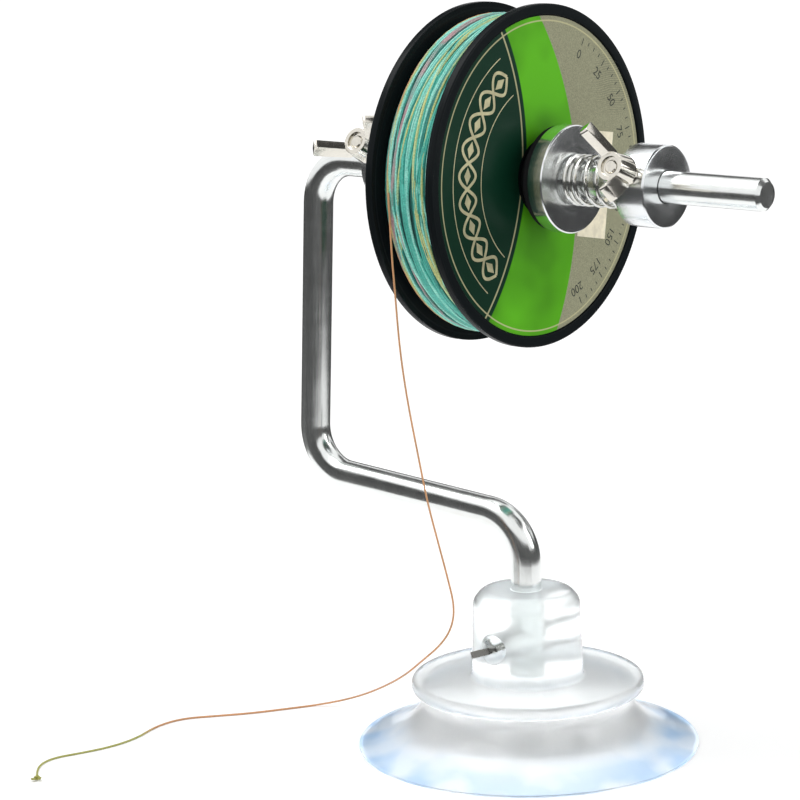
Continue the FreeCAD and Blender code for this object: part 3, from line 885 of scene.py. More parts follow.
@dataclass
class Studio:
    """White table and backdrop, soft lamps, and dark cards seen only in mirrored rays."""

    floor_r: float = 6000.0
    floor_white: float = 0.9
    near_glow: float = 0.16
    far_glow: float = 0.5
    through_glow: float = 0.75
    near_r: float = 300.0
    far_r: float = 1700.0
    ambient: float = 0.66
    cards: tuple[Card, ...] = (
        Card("low_card", 250.0, 1.0, 150.0, 176.0, 352.0, 0.16, 0.04),
        Card("behind_card", 250.0, 1.0, 140.0, 118.0, 176.0, 0.12, 0.04),
        Card("side_card", 250.0, 1.0, 112.0, 352.0, 478.0, 0.10, 0.04),
        Card("near_card", 170.0, 1.0, 165.0, 205.0, 262.0, 0.12, 0.05),
        Card("lens_card", 205.0, 1.0, 56.0, 268.0, 352.0, 0.10, 0.06),
        Card("back_card", 400.0, 300.0, 600.0, 108.0, 174.0, 0.08, 0.08),
        Card("right_card", 330.0, 1.0, 330.0, 36.0, 60.0, 0.05, 0.08),
        Card("wing_card", 400.0, 185.0, 330.0, 70.0, 105.0, 0.06, 0.08),
        Card("high_card", 300.0, 400.0, 1000.0, -18.0, 50.0, 0.06, 0.06),
    )
    lamps: tuple[Lamp, ...] = (
        Lamp("top_lamp", (-0.35, -0.25, 1.0), 0.7, 5.0),
        Lamp("side_lamp", (0.75, 0.55, 0.55), 0.6, 3.0),
    )
    lamps_aim: Place = (0.0, 0.0, 0.12)
    steps: int = 48

    def seen_white(self, tree: bpy.types.NodeTree) -> Socket:
        """Tell the rays that show the backdrop from those that light the object.

        Args:
            tree: the node tree that gets the nodes.

        Returns:
            One for camera, glossy and transmitted rays, nought for the rest.
        """
        path = tree.nodes.new("ShaderNodeLightPath")
        total = path.outputs["Is Camera Ray"]
        for name in ("Is Glossy Ray", "Is Transmission Ray"):
            adder = tree.nodes.new("ShaderNodeMath")
            adder.operation = "MAXIMUM"
            tree.links.new(total, adder.inputs[0])
            tree.links.new(path.outputs[name], adder.inputs[1])
            total = adder.outputs[0]
        return total

    def world(self) -> None:
        """A backdrop that shows white and lights the object softly."""
        world = bpy.data.worlds.new("white_backdrop")
        world.use_nodes = True
        tree = world.node_tree
        backdrop = tree.nodes["Background"]
        backdrop.inputs["Color"].default_value = (*WHITE, 1.0)
        level = tree.nodes.new("ShaderNodeMapRange")
        tree.links.new(self.seen_white(tree), level.inputs["Value"])
        level.inputs["To Min"].default_value = self.ambient
        level.inputs["To Max"].default_value = 1.0
        tree.links.new(level.outputs[0], backdrop.inputs["Strength"])
        bpy.context.scene.world = world

    def floor(self) -> None:
        """The table: white, and to the eye it stays white where the lamps no longer reach."""
        mesh = bmesh.new()
        bmesh.ops.create_circle(mesh, cap_ends=True, segments=self.steps, radius=self.floor_r * MM)
        floor = loose_object(mesh, "table_top")
        sheet = NodeSheet("table_white")
        place = sheet.place()
        away = sheet.measure("LENGTH", place)
        glow = sheet.maths("MULTIPLY", self.seen_white(sheet.tree),
                           sheet.spread(away, self.near_glow, self.far_glow, self.near_r, self.far_r))
        through = sheet.maths("MULTIPLY", sheet.node("LightPath", {}).outputs["Is Transmission Ray"],
                              self.through_glow)
        glow = sheet.maths("ADD", glow, through)
        low = tinted(WHITE, self.floor_white)
        floor.data.materials.append(sheet.finish(
            Base_Color=sheet.ramp(sheet.noise(place, 0.01, 1.0), (0.0, low), (1.0, tinted(low, 1.01))),
            Roughness=0.9, Specular_IOR_Level=0.0, Emission_Color=WHITE, Emission_Strength=glow))

    def stand(self, card: Card) -> None:
        """Stand one dark card up, hidden from every ray but a mirrored one.

        Args:
            card: the card.
        """
        mesh = bmesh.new()
        start = math.radians(card.start_deg)
        foot = mesh.verts.new((card.radius * math.cos(start), card.radius * math.sin(start), card.foot))
        head = mesh.verts.new((foot.co.x, foot.co.y, card.head))
        mesh.edges.new((foot, head))
        bmesh.ops.spin(mesh, geom=mesh.verts[:] + mesh.edges[:], cent=ORIGIN, axis=(0, 0, 1),
                       angle=math.radians(card.end_deg - card.start_deg), steps=self.steps,
                       use_duplicate=False)
        bmesh.ops.scale(mesh, vec=(MM, MM, MM), verts=mesh.verts[:])
        made = loose_object(mesh, card.name)
        sheet = NodeSheet(card.name + "_grey")
        grey = sheet.spread(sheet.part(sheet.place(), "Z"), card.foot_grey, card.head_grey,
                            card.foot, card.head)
        made.data.materials.append(sheet.finish(
            Base_Color=BLACK, Roughness=1.0, Specular_IOR_Level=0.0,
            Emission_Color=sheet.ramp(grey, (0.0, BLACK), (1.0, WHITE)), Emission_Strength=1.0))
        for kind in ("camera", "diffuse", "transmission", "volume_scatter", "shadow"):
            setattr(made, "visible_" + kind, False)

    def hang(self, lamp: Lamp) -> None:
        """Hang one lamp and aim it at the object.

        Args:
            lamp: the lamp.
        """
        light = bpy.data.lights.new(lamp.name, "AREA")
        light.size = lamp.size
        light.energy = lamp.power
        hung = in_scene(lamp.name, light)
        hung.location = lamp.place
        aim = Vector(self.lamps_aim) - Vector(lamp.place)
        hung.rotation_euler = aim.to_track_quat("-Z", "Y").to_euler()

    def build(self) -> None:
        """Set the stage."""
        bpy.context.scene.view_settings.view_transform = "Standard"
        self.world()
        self.floor()
        for card in self.cards:
            self.stand(card)
        for lamp in self.lamps:
            self.hang(lamp)


@dataclass
class TailLine:
    """The loose end of the line, from the winding down to the table, and its knot."""

    radius: float = 0.25
    length: float = 0.2866
    knot_size: float = 0.27
    knot_wire_r: float = 0.24
    knot_steps: int = 60
    knot_width: float = 0.8
    knot_reach: float = 2.6
    knot_lift: float = 0.15
    fibres: int = 9
    fibre_length: float = 1.6
    seed: int = 4

    @property
    def route(self) -> list[Place]:
        """The CAD tube's route, in metres."""
        return [
            (-0.0080, -0.0409, 0.1492), (-0.0083, -0.0402, 0.1367), (-0.0087, -0.0386, 0.1235),
            (-0.0097, -0.0363, 0.1094), (-0.0101, -0.0334, 0.0956), (-0.0101, -0.0301, 0.0821),
            (-0.0097, -0.0272, 0.0686), (-0.0084, -0.0249, 0.0578), (-0.0067, -0.0233, 0.0479),
            (-0.0057, -0.0221, 0.0404), (-0.0076, -0.0214, 0.0342), (-0.0120, -0.0209, 0.0289),
            (-0.0186, -0.0204, 0.0236), (-0.0272, -0.0178, 0.0173), (-0.0410, -0.0116, 0.0098),
            (-0.0542, -0.0074, 0.0036), (-0.0642, -0.0096, 0.0003), (-0.0696, -0.0190, 0.0003),
            (-0.0744, -0.0272, 0.0003), (-0.0802, -0.0346, 0.0003), (-0.0866, -0.0424, 0.0003),
            (-0.0874, -0.0514, 0.0003), (-0.0842, -0.0616, 0.0003), (-0.0844, -0.0706, 0.0003),
            (-0.0868, -0.0786, 0.0003), (-0.0902, -0.0868, 0.0003), (-0.0876, -0.0944, 0.0003),
            (-0.0812, -0.0996, 0.0003),
        ]

    def line(self) -> bpy.types.Object:
        """The line itself, one smooth open curve.

        Returns:
            Its piece.
        """
        curve = bpy.data.curves.new("tail_line", "CURVE")
        curve.dimensions = "3D"
        curve.bevel_depth = self.radius * MM
        curve.bevel_resolution = 3
        curve.use_fill_caps = True
        spline = curve.splines.new("NURBS")
        spline.points.add(len(self.route) - 1)
        for point, place in zip(spline.points, self.route):
            point.co = (*place, 1.0)
        spline.order_u = 3
        spline.use_endpoint_u = True
        spline.resolution_u = 12
        return dressed(in_scene("tail_line", curve), "root", [TAIL_LINE.material()],
                       ("line_tail",))

    def knot(self) -> bpy.types.Object:
        """A small overhand knot with a few frayed fibres.

        Returns:
            Its piece.
        """
        before, last = (Vector(place) / MM for place in self.route[-2:])
        ahead = (last - before).normalized()
        side = Vector((-ahead.y, ahead.x, 0.0))
        centre = last + ahead * self.knot_reach * self.knot_size + Vector((0, 0, self.knot_lift))
        loops = []
        for step in range(self.knot_steps + 1):
            turn = 2 * math.pi * step / self.knot_steps
            run = math.sin(turn) + 2 * math.sin(2 * turn)
            across = math.cos(turn) - 2 * math.cos(2 * turn)
            lift = Vector((0, 0, 1.0 - math.sin(3 * turn)))
            loops.append(centre + (ahead * run + side * across * self.knot_width + lift) * self.knot_size)
        runs = [(loops, 0)]
        dice = random.Random(self.seed)
        for _ in range(self.fibres):
            way = ahead * dice.uniform(0.3, 1.0) + side * dice.uniform(-0.8, 0.8)
            way += Vector((0, 0, dice.uniform(0.0, 0.35)))
            bend = side * dice.uniform(-0.5, 0.5)
            runs.append(([centre + (way * share + bend * share * share) * self.fibre_length
                          for share in (0.0, 0.25, 0.5, 0.75, 1.0)], 0))
        piece = strands("tail_knot", runs, self.knot_wire_r, [TAIL_LINE.material()])
        return dressed(piece, "root", [], ("line_end_knot",))

    def build(self) -> None:
        line, knot = self.line(), self.knot()


@dataclass
class CrankRod:
    """The bent rod: foot, two crank bends and the level spindle."""

    radius: float = 4.0
    foot_z: float = 19.0
    lower_z: float = 59.8
    offset: float = 74.0
    rake_deg: float = 3.4
    bend_r: float = 12.5
    tip_x: float = 75.0
    chamfer: float = 0.9
    segments: int = 56
    bend_steps: int = 18
    run_steps: int = 6
    centre: Vector = field(init=False)
    heading: Vector = field(init=False)
    run: float = field(init=False)

    def corners(self) -> list[Vector]:
        """Find the corners of the centre line.

        Returns:
            The corners, from the foot to the tip.
        """
        rake = math.tan(math.radians(self.rake_deg))
        low = Vector((-self.offset, 0.0, self.lower_z + self.offset * rake))
        high = Vector((low.x + (SPINDLE_Z - low.z) * rake, 0.0, SPINDLE_Z))
        return [Vector((0, 0, self.foot_z)), Vector((0, 0, self.lower_z)), low, high,
                Vector((self.tip_x - self.chamfer, 0, SPINDLE_Z))]

    def draw_on(self, mesh: bmesh.types.BMesh, ring: list, move: Matrix, share: float = 1.0) -> list:
        """Draw the open end of the tube on by one move.

        Args:
            mesh: the rod so far.
            ring: the edges of its open end.
            move: where that end goes.
            share: the new end's width against the old one's.

        Returns:
            The edges of the new end.
        """
        made = bmesh.ops.extrude_edge_only(mesh, edges=ring)["geom"]
        verts = [part for part in made if isinstance(part, bmesh.types.BMVert)]
        self.centre = move @ self.centre
        self.heading = (move.to_3x3() @ self.heading).normalized()
        bmesh.ops.transform(mesh, matrix=move, verts=verts)
        if share != 1.0:
            bmesh.ops.scale(mesh, vec=(share,) * 3, space=Matrix.Translation(-self.centre), verts=verts)
        self.mark(mesh, verts)
        fresh = set(verts)
        return [part for part in made if isinstance(part, bmesh.types.BMEdge)
                and part.verts[0] in fresh and part.verts[1] in fresh]

    def mark(self, mesh: bmesh.types.BMesh, verts: list) -> None:
        """Note each point's place on the rod as if it were still straight.

        Args:
            mesh: the rod so far.
            verts: the points of its open end.
        """
        layer = mesh.verts.layers.float_vector["straight"]
        side = Vector((0, 1, 0))
        out = self.heading.cross(side)
        for vert in verts:
            offset = vert.co - self.centre
            vert[layer] = Vector((offset.dot(side), offset.dot(out), self.run))

    def build(self) -> None:
        """Sweep a circle along the centre line."""
        corners = self.corners()
        mesh = bmesh.new()
        mesh.verts.layers.float_vector.new("straight")
        self.centre, self.heading, self.run = corners[0].copy(), Vector((0, 0, 1)), 0.0
        verts = bmesh.ops.create_circle(mesh, segments=self.segments, radius=self.radius,
                                        matrix=Matrix.Translation(self.centre))["verts"]
        self.mark(mesh, verts)
        ring = mesh.edges[:]
        bmesh.ops.contextual_create(mesh, geom=ring)
        for before, corner, after in zip(corners, corners[1:], corners[2:]):
            ahead = (after - corner).normalized()
            turn = self.heading.angle(ahead)
            reach = self.bend_r * math.tan(turn / 2)
            ring = self.straight(mesh, ring, corner - self.heading * reach)
            spin_axis = self.heading.cross(ahead).normalized()
            pivot = self.centre + spin_axis.cross(self.heading) * self.bend_r
            step = (Matrix.Translation(pivot) @ Matrix.Rotation(turn / self.bend_steps, 4, spin_axis)
                    @ Matrix.Translation(-pivot))
            for _ in range(self.bend_steps):
                self.run += self.bend_r * turn / self.bend_steps
                ring = self.draw_on(mesh, ring, step)
        ring = self.straight(mesh, ring, corners[-1])
        ring = self.draw_on(mesh, ring, Matrix.Translation((self.chamfer, 0, 0)),
                            (self.radius - self.chamfer) / self.radius)
        bmesh.ops.contextual_create(mesh, geom=ring)
        bmesh.ops.recalc_face_normals(mesh, faces=mesh.faces[:])
        as_piece("bent_rod", mesh, "root", [DRAWN_ROD.material()], ("crank_rod",))

    def straight(self, mesh: bmesh.types.BMesh, ring: list, end: Vector) -> list:
        """Draw the rod straight on.

        Args:
            mesh: the rod so far.
            ring: the edges of its open end.
            end: the place that the open end's centre goes to.

        Returns:
            The edges of the new end.
        """
        step = (end - self.centre) / self.run_steps
        for _ in range(self.run_steps):
            self.run += step.length
            ring = self.draw_on(mesh, ring, Matrix.Translation(step))
        return ring


@dataclass
class SuctionFoot:
    """The clear soft foot: bell, flange disc and hub, with the pin's cross hole."""

    rim_r: float = 44.5
    rim_edge: float = 0.6
    rim_width: float = 0.9
    hollow: float = 6.5
    neck_r: float = 27.0
    neck_z: float = 12.0
    flange_r: float = 30.4
    flange_z: float = 14.8
    flange_t: float = 3.4
    hub_base_r: float = 14.6
    hub_shoulder_r: float = 14.0
    hub_top_r: float = 11.6
    hub_top_z: float = 41.5
    hub_bevel: float = 2.9
    socket_r: float = 4.06
    socket_z: float = 19.0
    hole_r: float = 4.0
    pin_z: float = 28.3
    drill_reach: float = 30.0
    under_bow: tuple[float, float] = (4.6, 24.9)
    over_bow: tuple[float, float] = (4.56, 34.0)
    facets: int = 160

    def build(self) -> None:
        """Turn the foot and bore it."""
        rim_in = self.rim_r - self.rim_width
        flange_top = self.flange_z + self.flange_t
        under = bowed((self.hollow, 0.0), self.under_bow, (0.0, rim_in))
        over = bowed((self.rim_edge, self.rim_r), self.over_bow, (self.neck_z, self.neck_r))
        softness = {1: 0.6, 2: 1.6, 3: 1.6, 4: 1.0, 5: 4.4, 6: 3.4, 7: 0.3}
        rest = rounded([
            (self.neck_z, self.neck_r), (self.flange_z, self.neck_r), (self.flange_z, self.flange_r),
            (flange_top, self.flange_r), (flange_top, self.hub_base_r),
            (self.hub_top_z - self.hub_bevel, self.hub_shoulder_r), (self.hub_top_z, self.hub_top_r),
            (self.hub_top_z, self.socket_r), (self.socket_z, self.socket_r), (self.socket_z, 0.0)],
            softness, closed=False, steps=6)
        mesh = lathe(under + [(0.0, self.rim_r)] + over + rest[1:], Axis.UPRIGHT, ORIGIN,
                     self.facets, closed=False)
        drill = rod_between((0, -self.drill_reach, self.pin_z), (0, self.drill_reach, self.pin_z),
                            self.hole_r)
        mesh = cut_away(mesh, drill)
        as_piece("suction_foot", mesh, "root", [CLEAR_PLASTIC.material()], ("suction_cup",))
        redress("split_pin", PIN_WIRE.material())


@dataclass
class Spool:
    """The spool: two lipped flanges, a drum, labels and the cones that centre it."""

    front_x: float = 7.8
    back_x: float = -13.8
    lip: float = 0.6
    lip_width: float = 2.7
    flange_r: float = 43.1
    flange_t: float = 1.6
    bore_r: float = 8.4
    hub_r: float = 10.4
    drum_r: float = 23.5
    drum_wall: float = 2.0
    drum_edge: float = 0.2
    web_t: float = 2.0
    seam: float = 0.05
    cone_depth: float = 4.35
    cone_lip: float = 1.5
    cone_lip_r: float = 13.0
    cone_base_r: float = 12.7
    cone_nose: float = 1.85
    cone_nose_r: float = 6.5
    cone_bore_r: float = 4.08
    flange_facets: int = 180

    def flange(self, name: str, outer_x: float, inward: int, node: str) -> None:
        """One flange, whose lip stands out at its edge.

        Args:
            name: the piece's name.
            outer_x: where its lip ends.
            inward: the way to the line, 1 for +x and -1 for -x.
            node: the CAD node that it stands for.
        """
        face = outer_x + inward * self.lip
        inner = face + inward * self.flange_t
        lip_r = self.flange_r - self.lip_width
        bore_r = self.hub_r + self.seam
        outline = rounded([(face, bore_r), (inner, bore_r), (inner, self.flange_r),
                           (outer_x, self.flange_r), (outer_x, lip_r), (face, lip_r)],
                          {2: 0.25, 3: 0.45, 4: 0.3, 5: 0.15})
        as_piece(name, lathe(outline, steps=self.flange_facets), "spool",
                 [BLACK_PLASTIC.material()], (node,))

    def drum(self) -> None:
        """Hub tube, web and drum tube in one moulding."""
        left, right = self.back_x + self.lip, self.front_x - self.lip
        inner_left, inner_right = left + self.flange_t, right - self.flange_t
        middle, half_web = (left + right) / 2, self.web_t / 2
        inner = self.drum_r - self.drum_wall
        outline = [(left, self.bore_r), (right, self.bore_r), (right, self.hub_r),
                   (middle + half_web, self.hub_r), (middle + half_web, inner), (inner_right, inner),
                   (inner_right, self.drum_r), (inner_left, self.drum_r), (inner_left, inner),
                   (middle - half_web, inner), (middle - half_web, self.hub_r), (left, self.hub_r)]
        as_piece("drum", lathe(rounded(outline, self.drum_edge)), "spool",
                 [BLACK_PLASTIC.material()], ("spool_drum",))

    def cone(self, name: str, face: float, outward: int, node: str) -> None:
        """A rubber cone that sits in the spool's bore.

        Args:
            name: the piece's name.
            face: the x of the spool's face.
            outward: the way out of the spool, 1 for +x and -1 for -x.
            node: the CAD node that it stands for.
        """
        nose = face - outward * self.cone_nose
        base = face + outward * self.cone_depth
        end = base + outward * self.cone_lip
        outline = rounded([(nose, self.cone_bore_r), (nose, self.cone_nose_r), (base, self.cone_base_r),
                           (base, self.cone_lip_r), (end, self.cone_lip_r), (end, self.cone_bore_r)],
                          {1: 0.4, 3: 0.2, 4: 0.35})
        as_piece(name, lathe(outline), "spool", [BLACK_RUBBER.material()], (node,))

    def build(self) -> None:
        """Make the spool's hard parts and its cones."""
        self.flange("front_flange", self.front_x, -1, "spool_front_flange")
        self.flange("rear_flange", self.back_x, 1, "spool_rear_flange")
        self.drum()
        self.cone("front_rubber_cone", self.front_x - self.lip, 1, "front_cone")
        self.cone("rear_rubber_cone", self.back_x + self.lip, -1, "rear_cone")
        redress("front_label", LABEL_PRINT.material())
        redress("rear_label", REAR_PRINT.material())


@dataclass
class LabelDressing:
    """What is printed on the front label: a gold rope band, a plain dial and a blank sticker."""

    face_x: float = 7.35
    rope_r: float = 29.3
    rope_swing: float = 3.1
    rope_waves: int = 9
    rope_width: float = 0.95
    rope_start_deg: float = 117.0
    rope_end_deg: float = 230.0
    rope_steps: int = 180
    rule_gap: float = 5.3
    lozenge_size: tuple[float, float] = (3.0, 1.7)
    dial_r: float = 37.6
    dial_start_deg: float = 62.0
    dial_end_deg: float = -66.0
    dial_ticks: int = 33
    dial_long_every: int = 4
    number_r: float = 33.2
    number_size: float = 3.3
    number_step: int = 25
    rule_r: float = 0.16
    tick_width: float = 0.28
    tick_length: float = 1.0
    long_tick_length: float = 1.9
    thickness: float = 0.03
    sticker_corners: tuple[tuple[float, float], ...] = (
        (29.5, 8.3), (25.4, -19.0), (13.9, -16.8), (18.0, 10.0))
    sticker_gap: float = 0.01
    sticker_t: float = 0.06

    def at(self, radius: float, turn_deg: float) -> Matrix:
        """A place on the label: x runs tangentially, y outwards, z off the face.

        Args:
            radius: how far it is from the spindle.
            turn_deg: its angle, from +Y towards +Z.

        Returns:
            The move from the origin to that place.
        """
        flat = Matrix(((0, 0, 1, 0), (1, 0, 0, 0), (0, 1, 0, 0), (0, 0, 0, 1)))
        centre = Matrix.Translation((self.face_x, 0, SPINDLE_Z))
        return (centre @ flat @ Matrix.Rotation(math.radians(turn_deg) - math.pi / 2, 4, "Z")
                @ Matrix.Translation((0, radius, 0)))

    def patch(self, mesh: bmesh.types.BMesh, place: Matrix, width: float, length: float,
              on_point: bool = False) -> None:
        """Add a flat printed patch with thickness.

        Args:
            mesh: the mesh that it joins.
            place: where it lies on the label.
            width: its width.
            length: its length.
            on_point: whether it is a lozenge and not a bar.
        """
        size = Matrix.Diagonal((width, length, self.thickness, 1.0))
        turned = Matrix.Identity(4) if on_point else Matrix.Rotation(math.pi / 4, 4, "Z")
        corner_r = math.sqrt(0.5)
        bmesh.ops.create_cone(mesh, cap_ends=True, segments=4, radius1=corner_r, radius2=corner_r,
                              depth=1.0, matrix=place @ size @ turned)

    def arc(self, radii: list[float]) -> tuple[list[Vector], int]:
        """A run along the rope band's arc.

        Args:
            radii: its distances from the spindle, evenly spaced along the arc.

        Returns:
            The run's places and its material's number.
        """
        sweep = self.rope_end_deg - self.rope_start_deg
        return [about_spindle(self.face_x, radius,
                              math.radians(self.rope_start_deg + sweep * step / self.rope_steps))
                for step, radius in enumerate(radii)], 0

    def rope(self) -> None:
        """Two gold ribbons that cross like a rope, between two thin rules, with a lozenge in each eye."""
        steps = range(self.rope_steps + 1)
        waves = [math.sin(math.pi * self.rope_waves * step / self.rope_steps) for step in steps]
        ropes = [self.arc([self.rope_r + swing * wave for wave in waves])
                 for swing in (self.rope_swing, -self.rope_swing)]
        self.flat("label_rope", ropes, self.rope_width / 2)
        rules = [self.arc([self.rope_r + gap for _ in steps]) for gap in (self.rule_gap, -self.rule_gap)]
        self.flat("label_rules", rules, self.rule_r)
        sweep = self.rope_end_deg - self.rope_start_deg
        mesh = bmesh.new()
        width, height = self.lozenge_size
        for number in range(self.rope_waves):
            turn = self.rope_start_deg + sweep * (number + 0.5) / self.rope_waves
            self.patch(mesh, self.at(self.rope_r, turn), width, height, on_point=True)
        as_piece("label_lozenges", mesh, "spool", [GOLD_FOIL.material()])

    def flat(self, name: str, runs: list[tuple[list[Vector], int]], radius: float) -> None:
        """Lay gold ribbons on the label: strands pressed nearly flat.

        Args:
            name: the piece's name.
            runs: each ribbon's places and its material's number.
            radius: half of the ribbons' width.
        """
        piece = strands(name, runs, radius, [GOLD_FOIL.material()])
        face = self.face_x * MM
        press = Matrix.Diagonal((self.thickness / radius, 1.0, 1.0, 1.0))
        piece.data.transform(Matrix.Translation((face, 0, 0)) @ press @ Matrix.Translation((-face, 0, 0)))
        dressed(piece, "spool", [])

    def dial(self) -> None:
        """Ticks and plain numbers round the right-hand edge."""
        sweep = self.dial_end_deg - self.dial_start_deg
        mesh = bmesh.new()
        for number in range(self.dial_ticks):
            turn = self.dial_start_deg + sweep * number / (self.dial_ticks - 1)
            length = self.tick_length if number % self.dial_long_every else self.long_tick_length
            self.patch(mesh, self.at(self.dial_r - length / 2, turn), self.tick_width, length)
        as_piece("label_ticks", mesh, "spool", [DARK_INK.material()])
        words = bmesh.new()
        count = (self.dial_ticks - 1) // self.dial_long_every + 1
        for number in range(count):
            turn = self.dial_start_deg + sweep * number / (count - 1)
            self.write(words, str(self.number_step * number), self.at(self.number_r, turn))
        as_piece("label_numbers", words, "spool", [DARK_INK.material()])

    def write(self, mesh: bmesh.types.BMesh, words: str, place: Matrix) -> None:
        """Write a number on the label.

        Args:
            mesh: the mesh that it joins.
            words: the number.
            place: its centre on the label.
        """
        text = bpy.data.curves.new("number", "FONT")
        text.body = words
        text.size = self.number_size
        text.extrude = self.thickness / 2
        text.align_x, text.align_y = "CENTER", "CENTER"
        data = as_mesh("number", text)
        data.transform(place)
        mesh.from_mesh(data)
        bpy.data.meshes.remove(data)

    def sticker(self) -> None:
        """A blank cream sticker beside the hub."""
        mesh = bmesh.new()
        verts = [mesh.verts.new((self.face_x + self.sticker_gap, y, SPINDLE_Z + z))
                 for y, z in self.sticker_corners]
        face = mesh.faces.new(verts)
        made = bmesh.ops.extrude_face_region(mesh, geom=[face])["geom"]
        tops = [part for part in made if isinstance(part, bmesh.types.BMVert)]
        bmesh.ops.translate(mesh, vec=(self.sticker_t, 0, 0), verts=tops)
        bmesh.ops.recalc_face_normals(mesh, faces=mesh.faces[:])
        as_piece("price_sticker", mesh, "spool", [CREAM_PAPER.material()])

    def build(self) -> None:
        """Dress the front label."""
        self.rope()
        self.dial()
        self.sticker()


@dataclass
class Winding:
    """The line on the spool: a packed layer, and bundles that cross over it."""

    core_r: float = 39.7
    drum_r: float = 23.5
    left: float = -11.6
    right: float = 5.6
    rear_slope: float = 3.0
    rear_drop: float = 2.6
    front_slope: float = 1.2
    front_drop: float = 0.9
    strand_r: float = 0.32
    packed_turns: int = 27
    bundles: int = 20
    steps: int = 60
    seed: int = 11
    slope_power: float = 1.4
    side_gap: float = 0.05
    drum_gap: float = 0.01
    ridges: int = 30
    groove: float = 0.22
    strand_gap: float = 0.06
    bundle_pitch: float = 0.53
    packed_swing: float = 0.3
    packed_height: float = 0.1
    bundle_swings: tuple[tuple[float, float], ...] = ((1.0, 4.2), (0.4, 1.6), (0.1, 0.6))
    # painted shade: the packed turns are coloured dark, as if shaded by the bundles over them
    packed_painted_shades: tuple[Shade, ...] = (
        Shade.SHADOW, Shade.SEA_GREEN, Shade.SEA_GREEN, Shade.SHADOW, Shade.SEA_GREEN, Shade.SHADOW)
    # the bundles on top take lighter shades: partly the line's own colours, partly painted light on the top
    # strands
    bundle_shades: tuple[Shade, ...] = (
        Shade.TURQUOISE, Shade.TURQUOISE, Shade.PALE_AQUA, Shade.TURQUOISE, Shade.PALE_AQUA,
        Shade.SEA_GREEN, Shade.YELLOW_GREEN, Shade.PALE_AQUA, Shade.TURQUOISE, Shade.PALE_AQUA,
        Shade.TURQUOISE, Shade.ROSE_GREY)
    single_height: float = 0.5
    end_inset: float = 0.4
    any_angle: float = 6.28
    sway: float = 0.12
    ripple: float = 0.05
    last_turn_in: float = 2.75
    last_turn_height: float = 0.62
    last_turn_r: float = 0.25

    def drop(self, along: float) -> float:
        """How far the layers fall off towards the two flanges.

        Args:
            along: the place along the spindle.

        Returns:
            The drop in millimetres.
        """
        rear = max(0.0, 1.0 - (along - self.left) / self.rear_slope)
        front = max(0.0, 1.0 - (self.right - along) / self.front_slope)
        return self.rear_drop * rear ** self.slope_power + self.front_drop * front ** self.slope_power

    def core(self) -> None:
        """The inner layers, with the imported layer's grooves."""
        left, right = self.left + self.side_gap, self.right - self.side_gap
        pitch = (right - left) / self.ridges
        top = []
        for number in range(self.ridges):
            start = right - number * pitch
            crest = start - pitch / 2
            top += [(start, self.core_r - self.groove - self.drop(start)),
                    (crest, self.core_r - self.drop(crest))]
        inner = self.drum_r + self.drum_gap
        outline = [(left, inner), (right, inner)] + top
        outline.append((left, self.core_r - self.groove - self.drop(left)))
        as_piece("line_layers", lathe(outline), "spool", [LINE_SHADOW.material()],
                 ("line_core",))

    def strand(self, centre: float, leans: list[Outline], height: float, wobble: float) -> list[Vector]:
        """Places along one strand.

        Args:
            centre: its mean x.
            leans: its swings along x, each a list of (size, angle) for one, two or three waves a turn.
            height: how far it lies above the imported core.
            wobble: a small number of its own, which makes it part from its neighbours.

        Returns:
            Its places, in millimetres.
        """
        places = []
        low = self.left + self.strand_r + self.strand_gap
        high = self.right - self.strand_r - self.strand_gap
        for step in range(self.steps + 1):
            turn = 2 * math.pi * step / self.steps
            along = centre
            for waves, swings in enumerate(leans, start=1):
                for size, angle in swings:
                    along += size * math.sin(waves * turn + angle)
            along += self.sway * math.sin(4 * turn + 7 * wobble)
            along = min(max(along, low), high)
            lift = self.ripple * math.sin(5 * turn + 9 * wobble)
            places.append(about_spindle(along, self.core_r + height + lift - self.drop(along), turn))
        return places

    def swing(self, dice: random.Random, low: float, high: float) -> Outline:
        """One random swing: its size between two limits, and its angle."""
        return [(dice.uniform(low, high), dice.uniform(0, self.any_angle))]

    def packed(self, dice: random.Random, start: float, span: float) -> list[tuple[list[Vector], int]]:
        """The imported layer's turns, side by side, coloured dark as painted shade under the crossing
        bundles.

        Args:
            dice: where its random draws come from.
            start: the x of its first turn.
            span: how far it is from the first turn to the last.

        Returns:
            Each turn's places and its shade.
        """
        runs = []
        for number in range(self.packed_turns):
            centre = start + span * number / (self.packed_turns - 1)
            leans = [self.swing(dice, -self.packed_swing, self.packed_swing)]
            height = self.packed_height + dice.uniform(0, 0.08)
            runs.append((self.strand(centre, leans, height, dice.random()), dice.choice(self.packed_painted_shades)))
        return runs

    def crossing(self, dice: random.Random, start: float, span: float) -> list[tuple[list[Vector], int]]:
        """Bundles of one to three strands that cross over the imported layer.

        Args:
            dice: where their random draws come from.
            start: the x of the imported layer's first turn.
            span: how far it is from its first turn to its last.

        Returns:
            Each strand's places and its shade.
        """
        runs = []
        for number in range(self.bundles):
            share = 0.06 + 0.88 * (number + dice.uniform(0.2, 0.8)) / self.bundles
            leans = [self.swing(dice, low, high) for low, high in self.bundle_swings]
            shade = dice.choice(self.bundle_shades)
            height = 0.22 + 0.4 * dice.random()
            for strand in range(dice.choice((1, 2, 2, 3))):
                places = self.strand(start + span * share + self.bundle_pitch * strand, leans,
                                     height + self.strand_gap * (strand % 2), dice.random())
                first = (Shade.TURQUOISE, Shade.PALE_AQUA, shade)
                runs.append((places, shade if strand else dice.choice(first)))
        return runs

